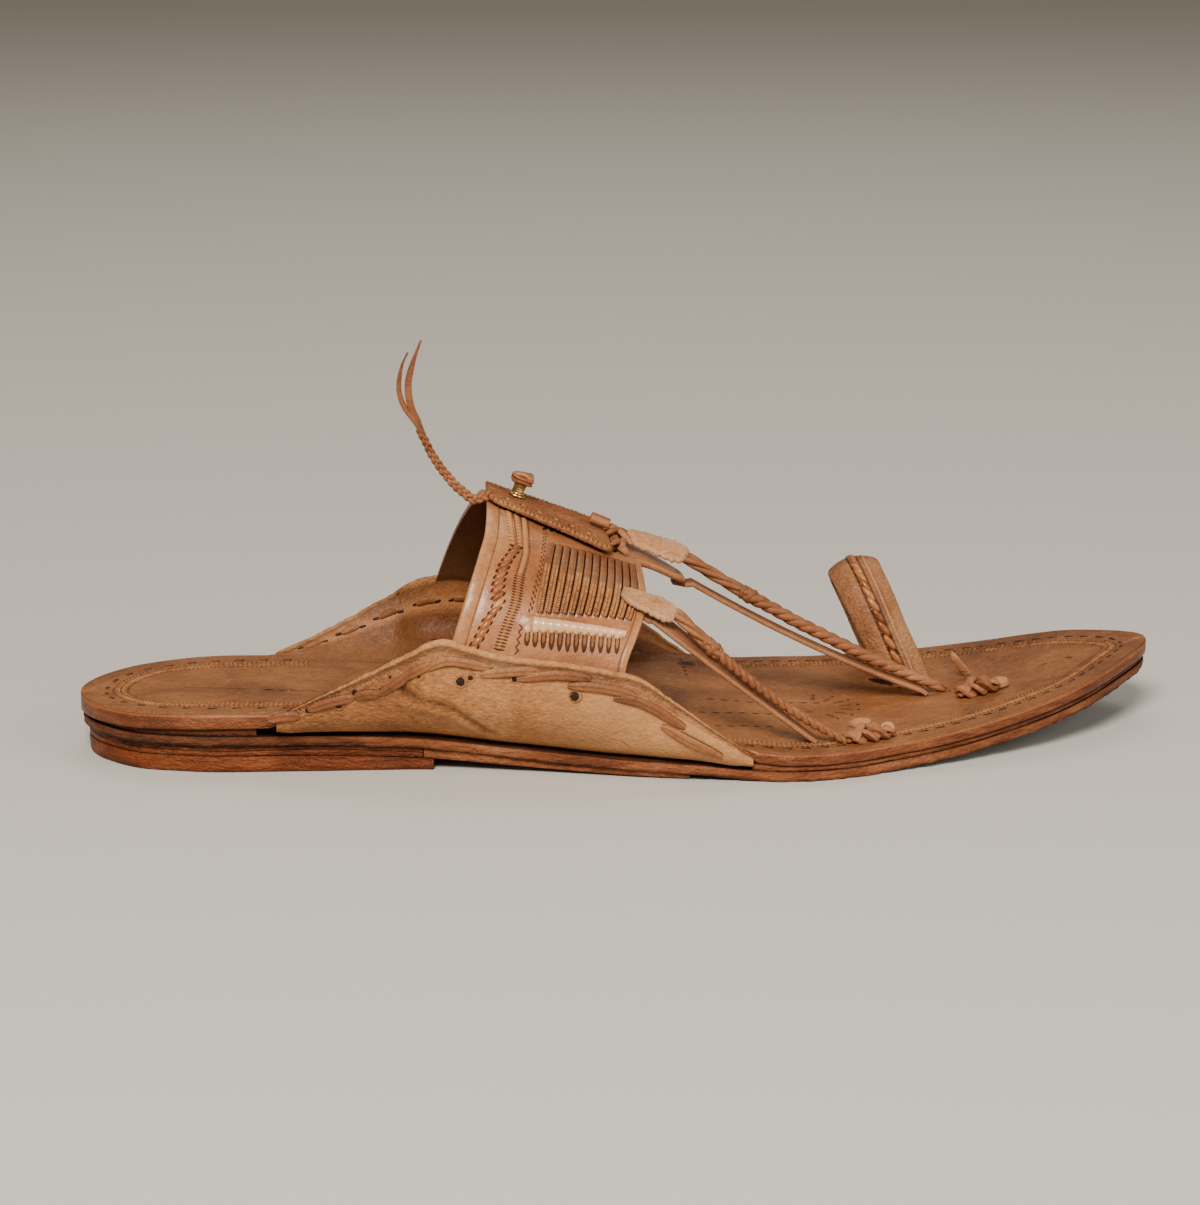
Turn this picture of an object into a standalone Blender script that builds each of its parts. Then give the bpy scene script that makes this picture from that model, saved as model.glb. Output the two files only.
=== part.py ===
"""Kolhapuri sandal for the right foot, built up from its cut, laced and plaited leathers.

The toe points along +X, the inner (medial) side of the foot is at +Y and the floor is z = 0.
The origin is on the floor under the middle of the sole. Lengths are in metres.
"""
from math import acos, copysign, cos, hypot, pi, radians, sin

import bmesh
import bpy
from mathutils import Matrix, Vector

MM = 0.001
LATERAL = -1
MEDIAL = 1

# Sole, from the floor up
SOLE_LENGTH = 286.6 * MM
BALL_WIDTH = 102.6 * MM
HEEL_WIDTH = 62 * MM
LOWER_LIFT = 4.0 * MM
UPPER_LIFT = 2.6 * MM
STRIP_TIP = 1.0 * MM
OUTSOLE = 2.4 * MM
HEEL_RAND = 0.5 * MM
TOE_RAND = 1.1 * MM
INSOLE_HEEL = 4.2 * MM
INSOLE_FORE = 3.0 * MM
TOE_SPRING = 13 * MM
HEEL_INSET = 2.0 * MM
OUTSOLE_INSET = 1.0 * MM
RAND_INSET = 1.5 * MM
GAP = 0.3 * MM
EAR_GAP = 0.7 * MM

# Ears
EAR_RISE = 25 * MM
WING = 2.3 * MM
COVER = 1.6 * MM
FOLD = 9 * MM
TUCK = 7 * MM

# Instep band and what lies on it
BAND_WIDTH = 93 * MM
BAND_HEIGHT = 70.8 * MM
BAND_WALL = 2.2 * MM
STRIP_RELIEF = 0.5 * MM
PRONG_REACH = 13 * MM
SADDLE_REAR_WIDTH = 21 * MM
SADDLE_FRONT_WIDTH = 36 * MM
SADDLE_WALL = 1.8 * MM
STUD_DIAMETER = 3.9 * MM
STUD_HEIGHT = 3.4 * MM
CAP_WIDTH = 5.6 * MM
CAP_HEIGHT = 2.8 * MM
TOGGLE_LENGTH = 5.2 * MM
TOGGLE_DIAMETER = 3.2 * MM
LASHING_DIAMETER = 3.0 * MM
PAD_WIDTH = 7.0 * MM
PAD_WALL = 2.2 * MM
MEDIAL_PAD_FRONT_LIFT = 3.0 * MM

# Straps and cords to the footbed
BRAID_DIAMETER = 3.4 * MM
STRAP_WIDTH = 6.5 * MM
STRAP_WALL = 1.8 * MM
LATERAL_SAG = 2.8 * MM
MEDIAL_SAG = 2.1 * MM
LATERAL_STRAP_SAG = 0.3 * MM
MEDIAL_STRAP_SAG = 1.7 * MM
KNOT_WIDTH = 9 * MM
KNOT_HEIGHT = 3.4 * MM
TAB_WIDTH = 2.6 * MM
TAB_LENGTH = 7.5 * MM
TAB_WALL = 1.2 * MM

# Toe loop
LOOP_WIDTH = 14 * MM
LOOP_WALL = 2.0 * MM
LOOP_HEIGHT = 27.2 * MM
LOOP_SPAN = 25 * MM
LOOP_LEAN = 12 * MM
LOOP_TILT = 15
LOOP_CROWN = 1.8 * MM
LOOP_WEAVE = 4.4 * MM
LOOP_RELIEF = 0.4 * MM

# Plaited tail
TAIL_DIAMETER = 3.2 * MM
TAIL_RISE = 40 * MM
TAIL_STRIP_WIDTH = 2.8 * MM
TAIL_STRIP_WALL = 1.2 * MM

# Places along the sole, as shares of its length
END_CUT = 0.0009
WIDENING = (0.295, 0.594)
BREAST = 0.3154
LIFT_JOINT = 0.3055
STRIP_END = 0.544
HEEL_RAND_END = 0.156
TOE_RAND_START = 0.610
RAND_EASE = 0.02
INSOLE_THINNED = 0.6
EAR_START = 0.178
LATERAL_EAR_END = 0.598
MEDIAL_EAR_END = 0.584
SADDLE = (0.374, 0.4835)
STUD_AT = 0.400
TOGGLE_AT = 0.4745
LASHING_AT = 0.492
LATERAL_PAD = (0.487, 0.532)
MEDIAL_PAD = (0.501, 0.556)
LOOP_AT = 0.771

# Where cords, straps and knots meet the footbed: shares of the length, then the share of the reach to one side
LATERAL_BRAID_END = (0.681, 0.82)
LATERAL_STRAP_END = (0.655, 0.74)
MEDIAL_BRAID_END = (0.795, 0.03)
MEDIAL_STRAP_END = (0.779, 0.03)
SIDE_KNOT = (0.685, 0.728, 0.82)
FRONT_KNOT = (0.808, 0.846, 0.19)
TAB_FOOT = (0.830, 0.26)
LOOP_CENTRE = 0.565

# Angles round the band, up from its lateral side, in degrees
LATERAL_ANGLE = 49
MEDIAL_ANGLE = 93
PRONG_ANGLE = 95
PRONG_TIP_HALF_ANGLE = 3
PRONG_ROOT_HALF_ANGLE = 14
PANEL_LOW = 36
PANEL_HIGH = 64
PANEL_EASE = 3
LASHING_ANGLES = range(80, 107, 3)

HEEL_STACK = LOWER_LIFT + UPPER_LIFT + 2 * GAP
PAD_LIFT = BAND_WALL / 2 + STRIP_RELIEF + GAP + PAD_WALL / 2

# Plan of the sole: share of its length, then each edge's share of the local half width
OUTLINE = (
    (0.00, 0.000, 0.000),
    (0.02, 0.540, 0.540),
    (0.06, 0.855, 0.855),
    (0.127, 1.000, 1.000),
    (0.246, 1.040, 0.970),
    (0.345, 1.060, 0.955),
    (0.465, 0.972, 0.950),
    (0.564, 0.956, 0.972),
    (0.643, 1.000, 1.000),
    (0.743, 0.838, 0.980),
    (0.842, 0.620, 0.889),
    (0.922, 0.363, 0.752),
    (0.972, 0.068, 0.536),
    (1.00, -0.253, 0.253),
)

# Share of the heel stack under the outsole
HEEL_RISE = (
    (0.000, 1.00),
    (0.196, 1.00),
    (0.286, 0.89),
    (0.345, 0.71),
    (0.390, 0.55),
    (0.465, 0.33),
    (0.544, 0.21),
    (0.594, 0.05),
    (0.624, 0.00),
    (1.000, 0.00),
)

# Share of the toe spring
TOE_RISE = (
    (0.000, 0.00),
    (0.693, 0.00),
    (0.743, 0.05),
    (0.793, 0.15),
    (0.842, 0.31),
    (0.892, 0.51),
    (0.942, 0.76),
    (1.000, 1.00),
)

# Share of the ears' rise on the lateral and on the medial side
EARS = (
    (0.170, 0.00, 0.00),
    (0.198, 0.17, 0.12),
    (0.243, 0.45, 0.37),
    (0.285, 0.73, 0.63),
    (0.327, 0.97, 0.86),
    (0.350, 0.91, 0.91),
    (0.390, 0.85, 0.88),
    (0.425, 0.84, 0.88),
    (0.463, 0.80, 0.85),
    (0.491, 0.75, 0.77),
    (0.533, 0.47, 0.40),
    (0.568, 0.21, 0.10),
    (0.603, 0.00, 0.00),
)

# Where the band's end parts an ear's two leathers
BAND_IN_EAR = (
    (0.292, 0.0),
    (0.320, 1.0),
    (0.512, 1.0),
    (0.540, 0.0),
)

# Section of the band: half width as a share of its width, spring line and crown as shares of its height
BAND_SECTION = (
    (0.335, 0.430, 0.290, 0.972),
    (0.514, 0.485, 0.218, 0.675),
    (0.564, 0.500, 0.198, 0.557),
)
BAND_SQUARENESS = 2.3

# Rear and front edge of the band by the angle up from its side, as shares of the sole's length
BAND_EDGES = (
    (6, 0.3256, 0.4833),
    (18, 0.3367, 0.4877),
    (33, 0.3492, 0.4990),
    (48, 0.3601, 0.5080),
    (61, 0.3674, 0.5111),
    (90, 0.3733, 0.5118),
)
BAND_ANGLES = (6, 14, 22, 29, 33, 36, 46, 56, 64, 67, 73, 79, 84, 88, 92, 95, 98, 102, 106,
               110, 113, 116, 124, 134, 144, 147, 151, 158, 166, 174)

# The slit panel on each side of the band, along the sole's length
STRIPS = 12
PANEL_REAR = 0.405
PANEL_FRONT_MARGIN = 0.006

# Half width of a pad along its length
PAD_SHAPE = (
    (0.00, 0.35),
    (0.15, 0.68),
    (0.45, 0.85),
    (0.75, 1.00),
    (0.92, 0.76),
    (1.00, 0.42),
)

# Thickness of a plaited cord along its length: full at the pad, a knot, thin where it is drawn in
BRAID_SHAPE = (
    (0.00, 1.00),
    (0.23, 1.00),
    (0.29, 1.45),
    (0.35, 0.95),
    (0.80, 0.85),
    (1.00, 0.68),
)

# Half width of the toe tab along its length
TAB_SHAPE = (
    (0.0, 0.9),
    (0.3, 1.0),
    (0.6, 0.9),
    (0.85, 0.7),
    (1.0, 0.3),
)

# Turned profile of the stud: radius as a share of its diameter, height as a share of its height
STUD_PROFILE = (
    (0.50, 0.00),
    (0.50, 0.14),
    (0.29, 0.26),
    (0.29, 0.78),
    (0.36, 0.86),
    (0.36, 1.00),
)

# Plaited tail, as shares of its rise: back from its root, across and up
TAIL_ROUTE = (
    (0.00, 0.00, 0.00),
    (0.05, 0.01, -0.02),
    (0.09, 0.01, 0.00),
    (0.20, 0.02, 0.10),
    (0.31, 0.03, 0.25),
    (0.37, 0.03, 0.37),
    (0.41, 0.03, 0.45),
)
TAIL_REAR_STRIP = (
    (0.39, 0.02, 0.41),
    (0.455, 0.03, 0.53),
    (0.51, 0.04, 0.68),
    (0.53, 0.04, 0.80),
    (0.52, 0.03, 0.94),
)
TAIL_FRONT_STRIP = (
    (0.39, 0.04, 0.41),
    (0.44, 0.04, 0.53),
    (0.455, 0.03, 0.70),
    (0.43, 0.02, 0.86),
    (0.405, 0.02, 1.00),
)

# Shaping of the leathers, as shares
WING_HELD = 0.5
WING_THINNED = 0.3
FOLD_LIMIT = 0.45
COVER_SHOULDER = 0.45
SADDLE_FALL = 0.5
PLAIT_SWELL = 0.15
TAIL_OFF_CENTRE = 0.36

# Colours as linear values
TAN = (0.30, 0.13, 0.05)
PALE_TAN = (0.42, 0.22, 0.11)
BROWN = (0.20, 0.07, 0.025)
SUEDE = (0.36, 0.19, 0.10)
BRASS = (0.75, 0.52, 0.20)


def mix(low, high, share):
    """Value between two others."""
    return low + (high - low) * share


def smooth(value):
    """Ease from 0 to 1, level at both ends."""
    value = min(max(value, 0.0), 1.0)
    return value * value * (3 - 2 * value)


def read(table, place, column=1):
    """Read a column of a table on a smooth curve that never passes beyond its rows."""
    places = [row[0] for row in table]
    values = [row[column] for row in table]
    place = min(max(place, places[0]), places[-1])
    slopes = [(values[i + 1] - values[i]) / (places[i + 1] - places[i]) for i in range(len(table) - 1)]

    def tangent(i):
        before, after = slopes[max(i - 1, 0)], slopes[min(i, len(slopes) - 1)]
        return 2 * before * after / (before + after) if before * after > 0 else 0.0

    row = max(i for i in range(len(slopes)) if places[i] <= place)
    width = places[row + 1] - places[row]
    t = (place - places[row]) / width
    ease = t * t * (3 - 2 * t)
    bend = t * (1 - t) * width * ((1 - t) * tangent(row) - t * tangent(row + 1))
    return mix(values[row], values[row + 1], ease) + bend


def turn(share):
    """Angle round a half circle whose shadow on the sole's length is this share."""
    return acos(1 - 2 * min(max(share, 0.0), 1.0))


def stations(start, end, count):
    """Shares of the sole's length, closer together near its round ends."""
    angles = [mix(turn(start), turn(end), i / (count - 1)) for i in range(count)]
    return [(1 - cos(angle)) / 2 for angle in angles]


OUTLINE_BY_TURN = [(turn(share), lateral, medial) for share, lateral, medial in OUTLINE]


def reach(share, side, inset=0.0):
    """How far one edge of the sole lies from the axis."""
    def plain(place):
        wide = smooth((place - WIDENING[0]) / (WIDENING[1] - WIDENING[0]))
        half = mix(HEEL_WIDTH, BALL_WIDTH, wide) / 2
        return half * read(OUTLINE_BY_TURN, turn(place), 1 if side == LATERAL else 2)

    step = 0.001
    slope = (plain(share + step) - plain(share - step)) / (2 * step * SOLE_LENGTH)
    return plain(share) - inset / hypot(1, slope)


def along(share, inset=0.0):
    """Place along the sole."""
    return (share - 0.5) * (SOLE_LENGTH - 2 * inset)


def rand(share):
    """Thickness of what lies between outsole and insole."""
    rows = ((0.0, HEEL_RAND), (HEEL_RAND_END, COVER), (TOE_RAND_START - RAND_EASE / 2, COVER),
            (TOE_RAND_START + RAND_EASE, TOE_RAND))
    return read(rows, share)


def outsole_under(share):
    """Height of the outsole's lower face."""
    return HEEL_STACK * read(HEEL_RISE, share) + TOE_SPRING * read(TOE_RISE, share)


def outsole_top(share):
    """Height of the outsole's upper face."""
    return outsole_under(share) + OUTSOLE


def insole_under(share):
    """Height of the insole's lower face, away from the wings."""
    return outsole_top(share) + rand(share) + 2 * GAP


def insole_thickness(share):
    """Thickness of the insole under the foot."""
    return mix(INSOLE_HEEL, INSOLE_FORE, smooth(share / INSOLE_THINNED))


def footbed(share):
    """Height of the surface that the foot stands on."""
    return insole_under(share) + insole_thickness(share)


def ear_share(share, side):
    """How much of its full rise an ear has."""
    return read(EARS, share, 1 if side == LATERAL else 2)


def band_section(share):
    """Half width, spring line and crown above it of the band's middle surface."""
    half = BAND_WIDTH * read(BAND_SECTION, share, 1)
    spring = BAND_HEIGHT * read(BAND_SECTION, share, 2)
    return half, spring, BAND_HEIGHT * read(BAND_SECTION, share, 3) - spring


def band_point(share, angle, offset=0.0):
    """Point of the band at an angle up from its lateral side, offset outwards from its middle."""
    half, spring, crown = band_section(share)
    power = 2 / BAND_SQUARENESS
    across, up = cos(radians(angle)), sin(radians(angle))
    y = -(half + offset) * copysign(abs(across) ** power, across)
    return Vector((along(share), y, spring + (crown + offset) * up ** power))


def band_side(share, height):
    """Distance from the axis to the band's middle surface at a height."""
    half, spring, crown = band_section(share)
    rise = min(max((height - spring) / crown, 0.0), 0.99)
    return half * (1 - rise ** BAND_SQUARENESS) ** (1 / BAND_SQUARENESS)


def band_height(share, y):
    """Height of the band's middle surface beside its ridge."""
    half, spring, crown = band_section(share)
    return spring + crown * (1 - abs(y / half) ** BAND_SQUARENESS) ** (1 / BAND_SQUARENESS)


def material(name, colour, roughness, metallic=0.0):
    """Principled material of one piece."""
    finish = bpy.data.materials.new(name)
    finish.use_nodes = True
    shader = finish.node_tree.nodes["Principled BSDF"]
    shader.inputs["Base Color"].default_value = (*colour, 1.0)
    shader.inputs["Roughness"].default_value = roughness
    shader.inputs["Metallic"].default_value = metallic
    finish.diffuse_color = (*colour, 1.0)
    return finish


def add_piece(name, mesh, colour, roughness=0.6, metallic=0.0):
    """Put a mesh into the sandal's collection as a named piece."""
    piece = bpy.data.objects.new(name, mesh)
    piece.data.materials.append(material(name + "_finish", colour, roughness, metallic))
    bpy.data.collections["kolhapuri_sandal"].objects.link(piece)
    mesh.shade_smooth()
    mesh.set_sharp_from_angle(angle=radians(35))
    return piece


def loft_mesh(name, rings):
    """Skin rings of equal counts of points and close both ends."""
    shape = bmesh.new()
    loops = [[shape.verts.new(point) for point in ring] for ring in rings]
    for near, far in zip(loops, loops[1:]):
        for i in range(len(near)):
            j = (i + 1) % len(near)
            shape.faces.new((near[i], near[j], far[j], far[i]))
    shape.faces.new(loops[0][::-1])
    shape.faces.new(loops[-1])
    bmesh.ops.recalc_face_normals(shape, faces=shape.faces)
    bmesh.ops.triangulate(shape, faces=shape.faces, quad_method="SHORT_EDGE")
    mesh = bpy.data.meshes.new(name)
    shape.to_mesh(mesh)
    shape.free()
    return mesh


def sweep_rings(path, section, side):
    """Rings of a section carried along a path; side gives the way that the section's width points."""
    rings = []
    for i, point in enumerate(path):
        place = i / (len(path) - 1)
        ahead = path[min(i + 1, len(path) - 1)] - path[max(i - 1, 0)]
        across = side(place)
        normal = across.cross(ahead).normalized()
        rings.append([point + across * u + normal * v for u, v in section(place)])
    return rings


def fixed(x, y, z):
    """A width that points the same way all along a sweep."""
    return lambda place: Vector((x, y, z))


def plate(name, start, end, inset, under, top, count, colour):
    """One flat leather layer of the sole between two shares of its length."""
    rings = []
    for share in stations(start, end, count):
        x = along(share, inset)
        lateral, medial = -reach(share, LATERAL, inset), reach(share, MEDIAL, inset)
        place = x / SOLE_LENGTH + 0.5
        low, high = under(place), top(place)
        rings.append([(x, lateral, low), (x, medial, low), (x, medial, high), (x, lateral, high)])
    return add_piece(name, loft_mesh(name, rings), colour, 0.7)


def strip_thickness(share):
    """Thickness of the waist strip, which runs out towards the ball."""
    return mix(UPPER_LIFT, STRIP_TIP, (share - LIFT_JOINT) / (STRIP_END - LIFT_JOINT))


def make_sole():
    """Heel lifts, waist strip, outsole and the two rands."""
    joint_gap = GAP / SOLE_LENGTH
    plate("heel_lift_lower", END_CUT, BREAST, HEEL_INSET, lambda share: 0.0,
          lambda share: outsole_under(share) - 2 * GAP - UPPER_LIFT, 22, BROWN)
    plate("heel_lift_upper", END_CUT, LIFT_JOINT, HEEL_INSET,
          lambda share: outsole_under(share) - GAP - UPPER_LIFT,
          lambda share: outsole_under(share) - GAP, 22, BROWN)
    plate("waist_strip", LIFT_JOINT + joint_gap, STRIP_END, HEEL_INSET,
          lambda share: outsole_under(share) - GAP - strip_thickness(share),
          lambda share: outsole_under(share) - GAP, 12, BROWN)
    plate("outsole", END_CUT, 1 - END_CUT, OUTSOLE_INSET, outsole_under, outsole_top, 56, BROWN)
    plate("heel_rand", END_CUT, HEEL_RAND_END, RAND_INSET, lambda share: outsole_top(share) + GAP,
          lambda share: insole_under(share) - GAP, 16, TAN)
    plate("toe_rand", TOE_RAND_START, 1 - END_CUT, RAND_INSET, lambda share: outsole_top(share) + GAP,
          lambda share: insole_under(share) - GAP, 30, TAN)


def lift_to_band(share, y, z, bottom, top, offset):
    """Draw a point of an ear towards the band's side where the band's end lies in the ear."""
    held = smooth((z - bottom) / max(WING_HELD * (top - bottom), MM)) * read(BAND_IN_EAR, share)
    return mix(y, band_side(share, z) + offset, held)


def wing_line(share, side):
    """Middle of the insole's leather on one side, out over the footbed and up the wing."""
    rise = ear_share(share, side)
    low = insole_under(share) + insole_thickness(share) / 2
    high = low + EAR_RISE * rise
    edge = reach(share, side)
    top = mix(edge, band_side(share, high), rise)
    fold = min(FOLD, FOLD_LIMIT * (reach(share, LATERAL) + reach(share, MEDIAL)))
    offset = -(BAND_WALL / 2 + EAR_GAP + WING / 2)
    points = []
    for t in (0.0, 0.35, 0.6, 0.8, 1.0):
        y = (edge - fold) * (1 - t) ** 2 + edge * 2 * t * (1 - t) + top * t * t
        z = mix(low, high, t * t)
        points.append((lift_to_band(share, y, z, low, high, offset), z))
    return points


def line_normals(line):
    """Unit normals of a section line, on its upper and inner side."""
    normals = []
    for i in range(len(line)):
        (y0, z0), (y1, z1) = line[max(i - 1, 0)], line[min(i + 1, len(line) - 1)]
        length = hypot(y1 - y0, z1 - z0)
        normals.append((-(z1 - z0) / length, (y1 - y0) / length))
    return normals


def wing_faces(share, side):
    """Under and upper points of the insole on one side, from the footbed outwards."""
    line = wing_line(share, side)
    body = insole_thickness(share)
    tip = mix(body, WING, min(1.0, ear_share(share, side) / WING_THINNED))
    under, upper = [], []
    for i, ((y, z), (ny, nz)) in enumerate(zip(line, line_normals(line))):
        half = mix(body, tip, i / (len(line) - 1)) / 2
        under.append(Vector((along(share), side * (y - ny * half), z - nz * half)))
        upper.append(Vector((along(share), side * (y + ny * half), z + nz * half)))
    return under, upper


def make_insole():
    """The footbed leather with its two wings."""
    rings = []
    shares = stations(END_CUT, 0.164, 12) + stations(0.172, 0.605, 24) + stations(0.625, 1 - END_CUT, 20)
    for share in shares:
        lateral_under, lateral_upper = wing_faces(share, LATERAL)
        medial_under, medial_upper = wing_faces(share, MEDIAL)
        rings.append(lateral_under + lateral_upper[::-1] + medial_upper + medial_under[::-1])
    add_piece("insole", loft_mesh("insole", rings), TAN, 0.55)


def cover_line(share, side):
    """Middle of an ear's outer leather, from its tuck under the insole up to the ear's top."""
    rise = ear_share(share, side)
    low = outsole_top(share) + GAP + COVER / 2
    wing_low = insole_under(share) + insole_thickness(share) / 2
    wing_y, high = wing_line(share, side)[-1]
    tip = mix(insole_thickness(share), WING, min(1.0, rise / WING_THINNED))
    parted = BAND_WALL + 2 * EAR_GAP - GAP
    top = wing_y + (tip + COVER) / 2 + GAP + parted * read(BAND_IN_EAR, share)
    high += COVER / 2
    edge = reach(share, side)
    bulge = edge + COVER + 2 * GAP
    offset = BAND_WALL / 2 + EAR_GAP + COVER / 2
    controls = ((edge - TUCK, low), (bulge, low), (top + COVER, mix(low, high, COVER_SHOULDER)), (top, high))
    points = []
    for t in (0.0, 0.22, 0.42, 0.6, 0.8, 1.0):
        weights = ((1 - t) ** 3, 3 * t * (1 - t) ** 2, 3 * t * t * (1 - t), t ** 3)
        y = sum(weight * point[0] for weight, point in zip(weights, controls))
        z = sum(weight * point[1] for weight, point in zip(weights, controls))
        points.append((lift_to_band(share, y, z, wing_low, high, offset), z))
    return points


def make_ear_cover(side, name, end):
    """The outer leather of one ear."""
    rings = []
    for share in stations(EAR_START, end, 24):
        line = cover_line(share, side)
        outer, inner = [], []
        for (y, z), (ny, nz) in zip(line, line_normals(line)):
            outer.append(Vector((along(share), side * (y - ny * COVER / 2), z - nz * COVER / 2)))
            inner.append(Vector((along(share), side * (y + ny * COVER / 2), z + nz * COVER / 2)))
        rings.append(outer + inner[::-1])
    add_piece(name, loft_mesh(name, rings), TAN, 0.65)


def band_edges(angle):
    """Rear and front edge of the band at an angle, with the prong for the medial strap."""
    fold = min(angle, 180 - angle)
    off_prong = abs(angle - PRONG_ANGLE)
    fade = (PRONG_ROOT_HALF_ANGLE - off_prong) / (PRONG_ROOT_HALF_ANGLE - PRONG_TIP_HALF_ANGLE)
    front = read(BAND_EDGES, fold, 2) + PRONG_REACH / SOLE_LENGTH * smooth(fade)
    return read(BAND_EDGES, fold, 1), front


def panel_relief(angle):
    """How far the slit panel's strips stand up at an angle."""
    fold = min(angle, 180 - angle)
    low = smooth((fold - PANEL_LOW + PANEL_EASE) / PANEL_EASE)
    high = smooth((PANEL_HIGH + PANEL_EASE - fold) / PANEL_EASE)
    return STRIP_RELIEF * low * high


def make_band():
    """The instep band, slit into raised strips on both sides."""
    rings = []
    for angle in BAND_ANGLES:
        rear, front = band_edges(angle)
        panel_front = read(BAND_EDGES, min(angle, 180 - angle), 2) - PANEL_FRONT_MARGIN
        relief = panel_relief(angle)
        ring = [band_point(rear, angle, BAND_WALL / 2)]
        for i in range(2 * STRIPS + 1):
            share = mix(PANEL_REAR, panel_front, i / (2 * STRIPS))
            raised = relief if i % 2 else 0.0
            ring.append(band_point(share, angle, BAND_WALL / 2 + raised))
        for share in (front, mix(front, rear, 0.25), mix(front, rear, 0.5), mix(front, rear, 0.75), rear):
            if share == front:
                ring.append(band_point(share, angle, BAND_WALL / 2))
            ring.append(band_point(share, angle, -BAND_WALL / 2))
        rings.append(ring)
    add_piece("instep_band", loft_mesh("instep_band", rings), TAN, 0.4)


def saddle_under(share, y):
    """Height of the saddle strap's lower face, which spans the band's ridge and lifts at its edges."""
    ridge = band_height(share, 0.0)
    return ridge + BAND_WALL / 2 + GAP - SADDLE_FALL * (ridge - band_height(share, y))


def make_saddle():
    """The strap along the ridge of the band."""
    rings = []
    for i in range(9):
        place = i / 8
        share = mix(*SADDLE, place)
        corner = 0.86 if i in (0, 8) else 1.0
        half = corner * mix(SADDLE_REAR_WIDTH, SADDLE_FRONT_WIDTH, place) / 2
        across = [half * k / 4 for k in range(-4, 5)]
        under = [Vector((along(share), y, saddle_under(share, y))) for y in across]
        upper = [point + Vector((0, 0, SADDLE_WALL)) for point in under[::-1]]
        rings.append(under + upper)
    add_piece("saddle_strap", loft_mesh("saddle_strap", rings), PALE_TAN, 0.7)


def ridge_frame(share, lift):
    """Placement on the ridge with its Z axis square to the slope, raised above the saddle strap."""
    step = 0.01
    ahead = Vector((2 * step * SOLE_LENGTH, 0, band_height(share + step, 0) - band_height(share - step, 0)))
    ahead.normalize()
    up = ahead.cross(Vector((0, 1, 0)))
    base = Vector((along(share), 0, saddle_under(share, 0.0) + SADDLE_WALL))
    turned = Matrix((ahead, Vector((0, 1, 0)), up)).transposed().to_4x4()
    return Matrix.Translation(base + up * lift) @ turned


def make_stud():
    """A turned brass stud with a folded leather cap."""
    rings = []
    for radius, height in STUD_PROFILE:
        angles = [2 * pi * i / 16 for i in range(16)]
        rings.append([(STUD_DIAMETER * radius * cos(angle), STUD_DIAMETER * radius * sin(angle),
                       STUD_HEIGHT * height) for angle in angles])
    stud = add_piece("stud", loft_mesh("stud", rings), BRASS, 0.25, 1.0)
    stud.matrix_world = ridge_frame(STUD_AT, GAP)

    shape = bmesh.new()
    size = Matrix.Diagonal((CAP_WIDTH, CAP_WIDTH * 0.8, CAP_HEIGHT, 1.0))
    bmesh.ops.create_cube(shape, size=1.0, matrix=size)
    bmesh.ops.bevel(shape, geom=shape.edges[:], offset=CAP_HEIGHT * 0.3, segments=2, affect="EDGES")
    mesh = bpy.data.meshes.new("stud_cap")
    shape.to_mesh(mesh)
    shape.free()
    cap = add_piece("stud_cap", mesh, PALE_TAN, 0.7)
    cap.matrix_world = ridge_frame(STUD_AT, 2 * GAP + STUD_HEIGHT + CAP_HEIGHT / 2)


def make_toggle():
    """The rolled leather toggle at the saddle's front."""
    shape = bmesh.new()
    lay = Matrix.Rotation(pi / 2, 4, "Y")
    bmesh.ops.create_cone(shape, cap_ends=True, segments=14, radius1=TOGGLE_DIAMETER / 2,
                          radius2=TOGGLE_DIAMETER / 2, depth=TOGGLE_LENGTH, matrix=lay)
    rims = [edge for edge in shape.edges if abs(edge.verts[0].co.x - edge.verts[1].co.x) < GAP]
    bmesh.ops.bevel(shape, geom=rims, offset=TOGGLE_DIAMETER * 0.12, segments=1, affect="EDGES")
    mesh = bpy.data.meshes.new("toggle")
    shape.to_mesh(mesh)
    shape.free()
    toggle = add_piece("toggle", mesh, PALE_TAN, 0.6)
    toggle.matrix_world = ridge_frame(TOGGLE_AT, GAP + TOGGLE_DIAMETER / 2)


def plait_section(radius, turns, count=8):
    """Section of two strands twisted round each other, turning along the cord."""
    def section(place):
        points = []
        for i in range(count):
            angle = 2 * pi * i / count
            reach_out = radius(place) * (1 - PLAIT_SWELL + PLAIT_SWELL * cos(2 * (angle - 2 * pi * turns * place)))
            points.append((reach_out * cos(angle), reach_out * sin(angle)))
        return points
    return section


def make_lashing():
    """The thongs wound across the ridge between saddle strap and medial pad."""
    lift = BAND_WALL / 2 + GAP + LASHING_DIAMETER / 2
    path = [band_point(LASHING_AT, angle, lift) for angle in LASHING_ANGLES]
    rings = sweep_rings(path, plait_section(lambda place: LASHING_DIAMETER / 2, 1.5), fixed(1, 0, 0))
    add_piece("lashing", loft_mesh("lashing", rings), PALE_TAN, 0.7)


def pad_line(side):
    """Middle of a pad at its rear and at its front, where the plaited cord leaves it."""
    if side == LATERAL:
        return tuple(band_point(share, LATERAL_ANGLE, PAD_LIFT) for share in LATERAL_PAD)
    rear, front = (band_point(share, MEDIAL_ANGLE, PAD_LIFT) for share in MEDIAL_PAD)
    front.z += MEDIAL_PAD_FRONT_LIFT
    return rear, front


def round_the_band(share, angle):
    """Way that runs round the band, square to its length, from its lateral to its medial side."""
    return (band_point(share, angle + 1) - band_point(share, angle - 1)).normalized()


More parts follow.
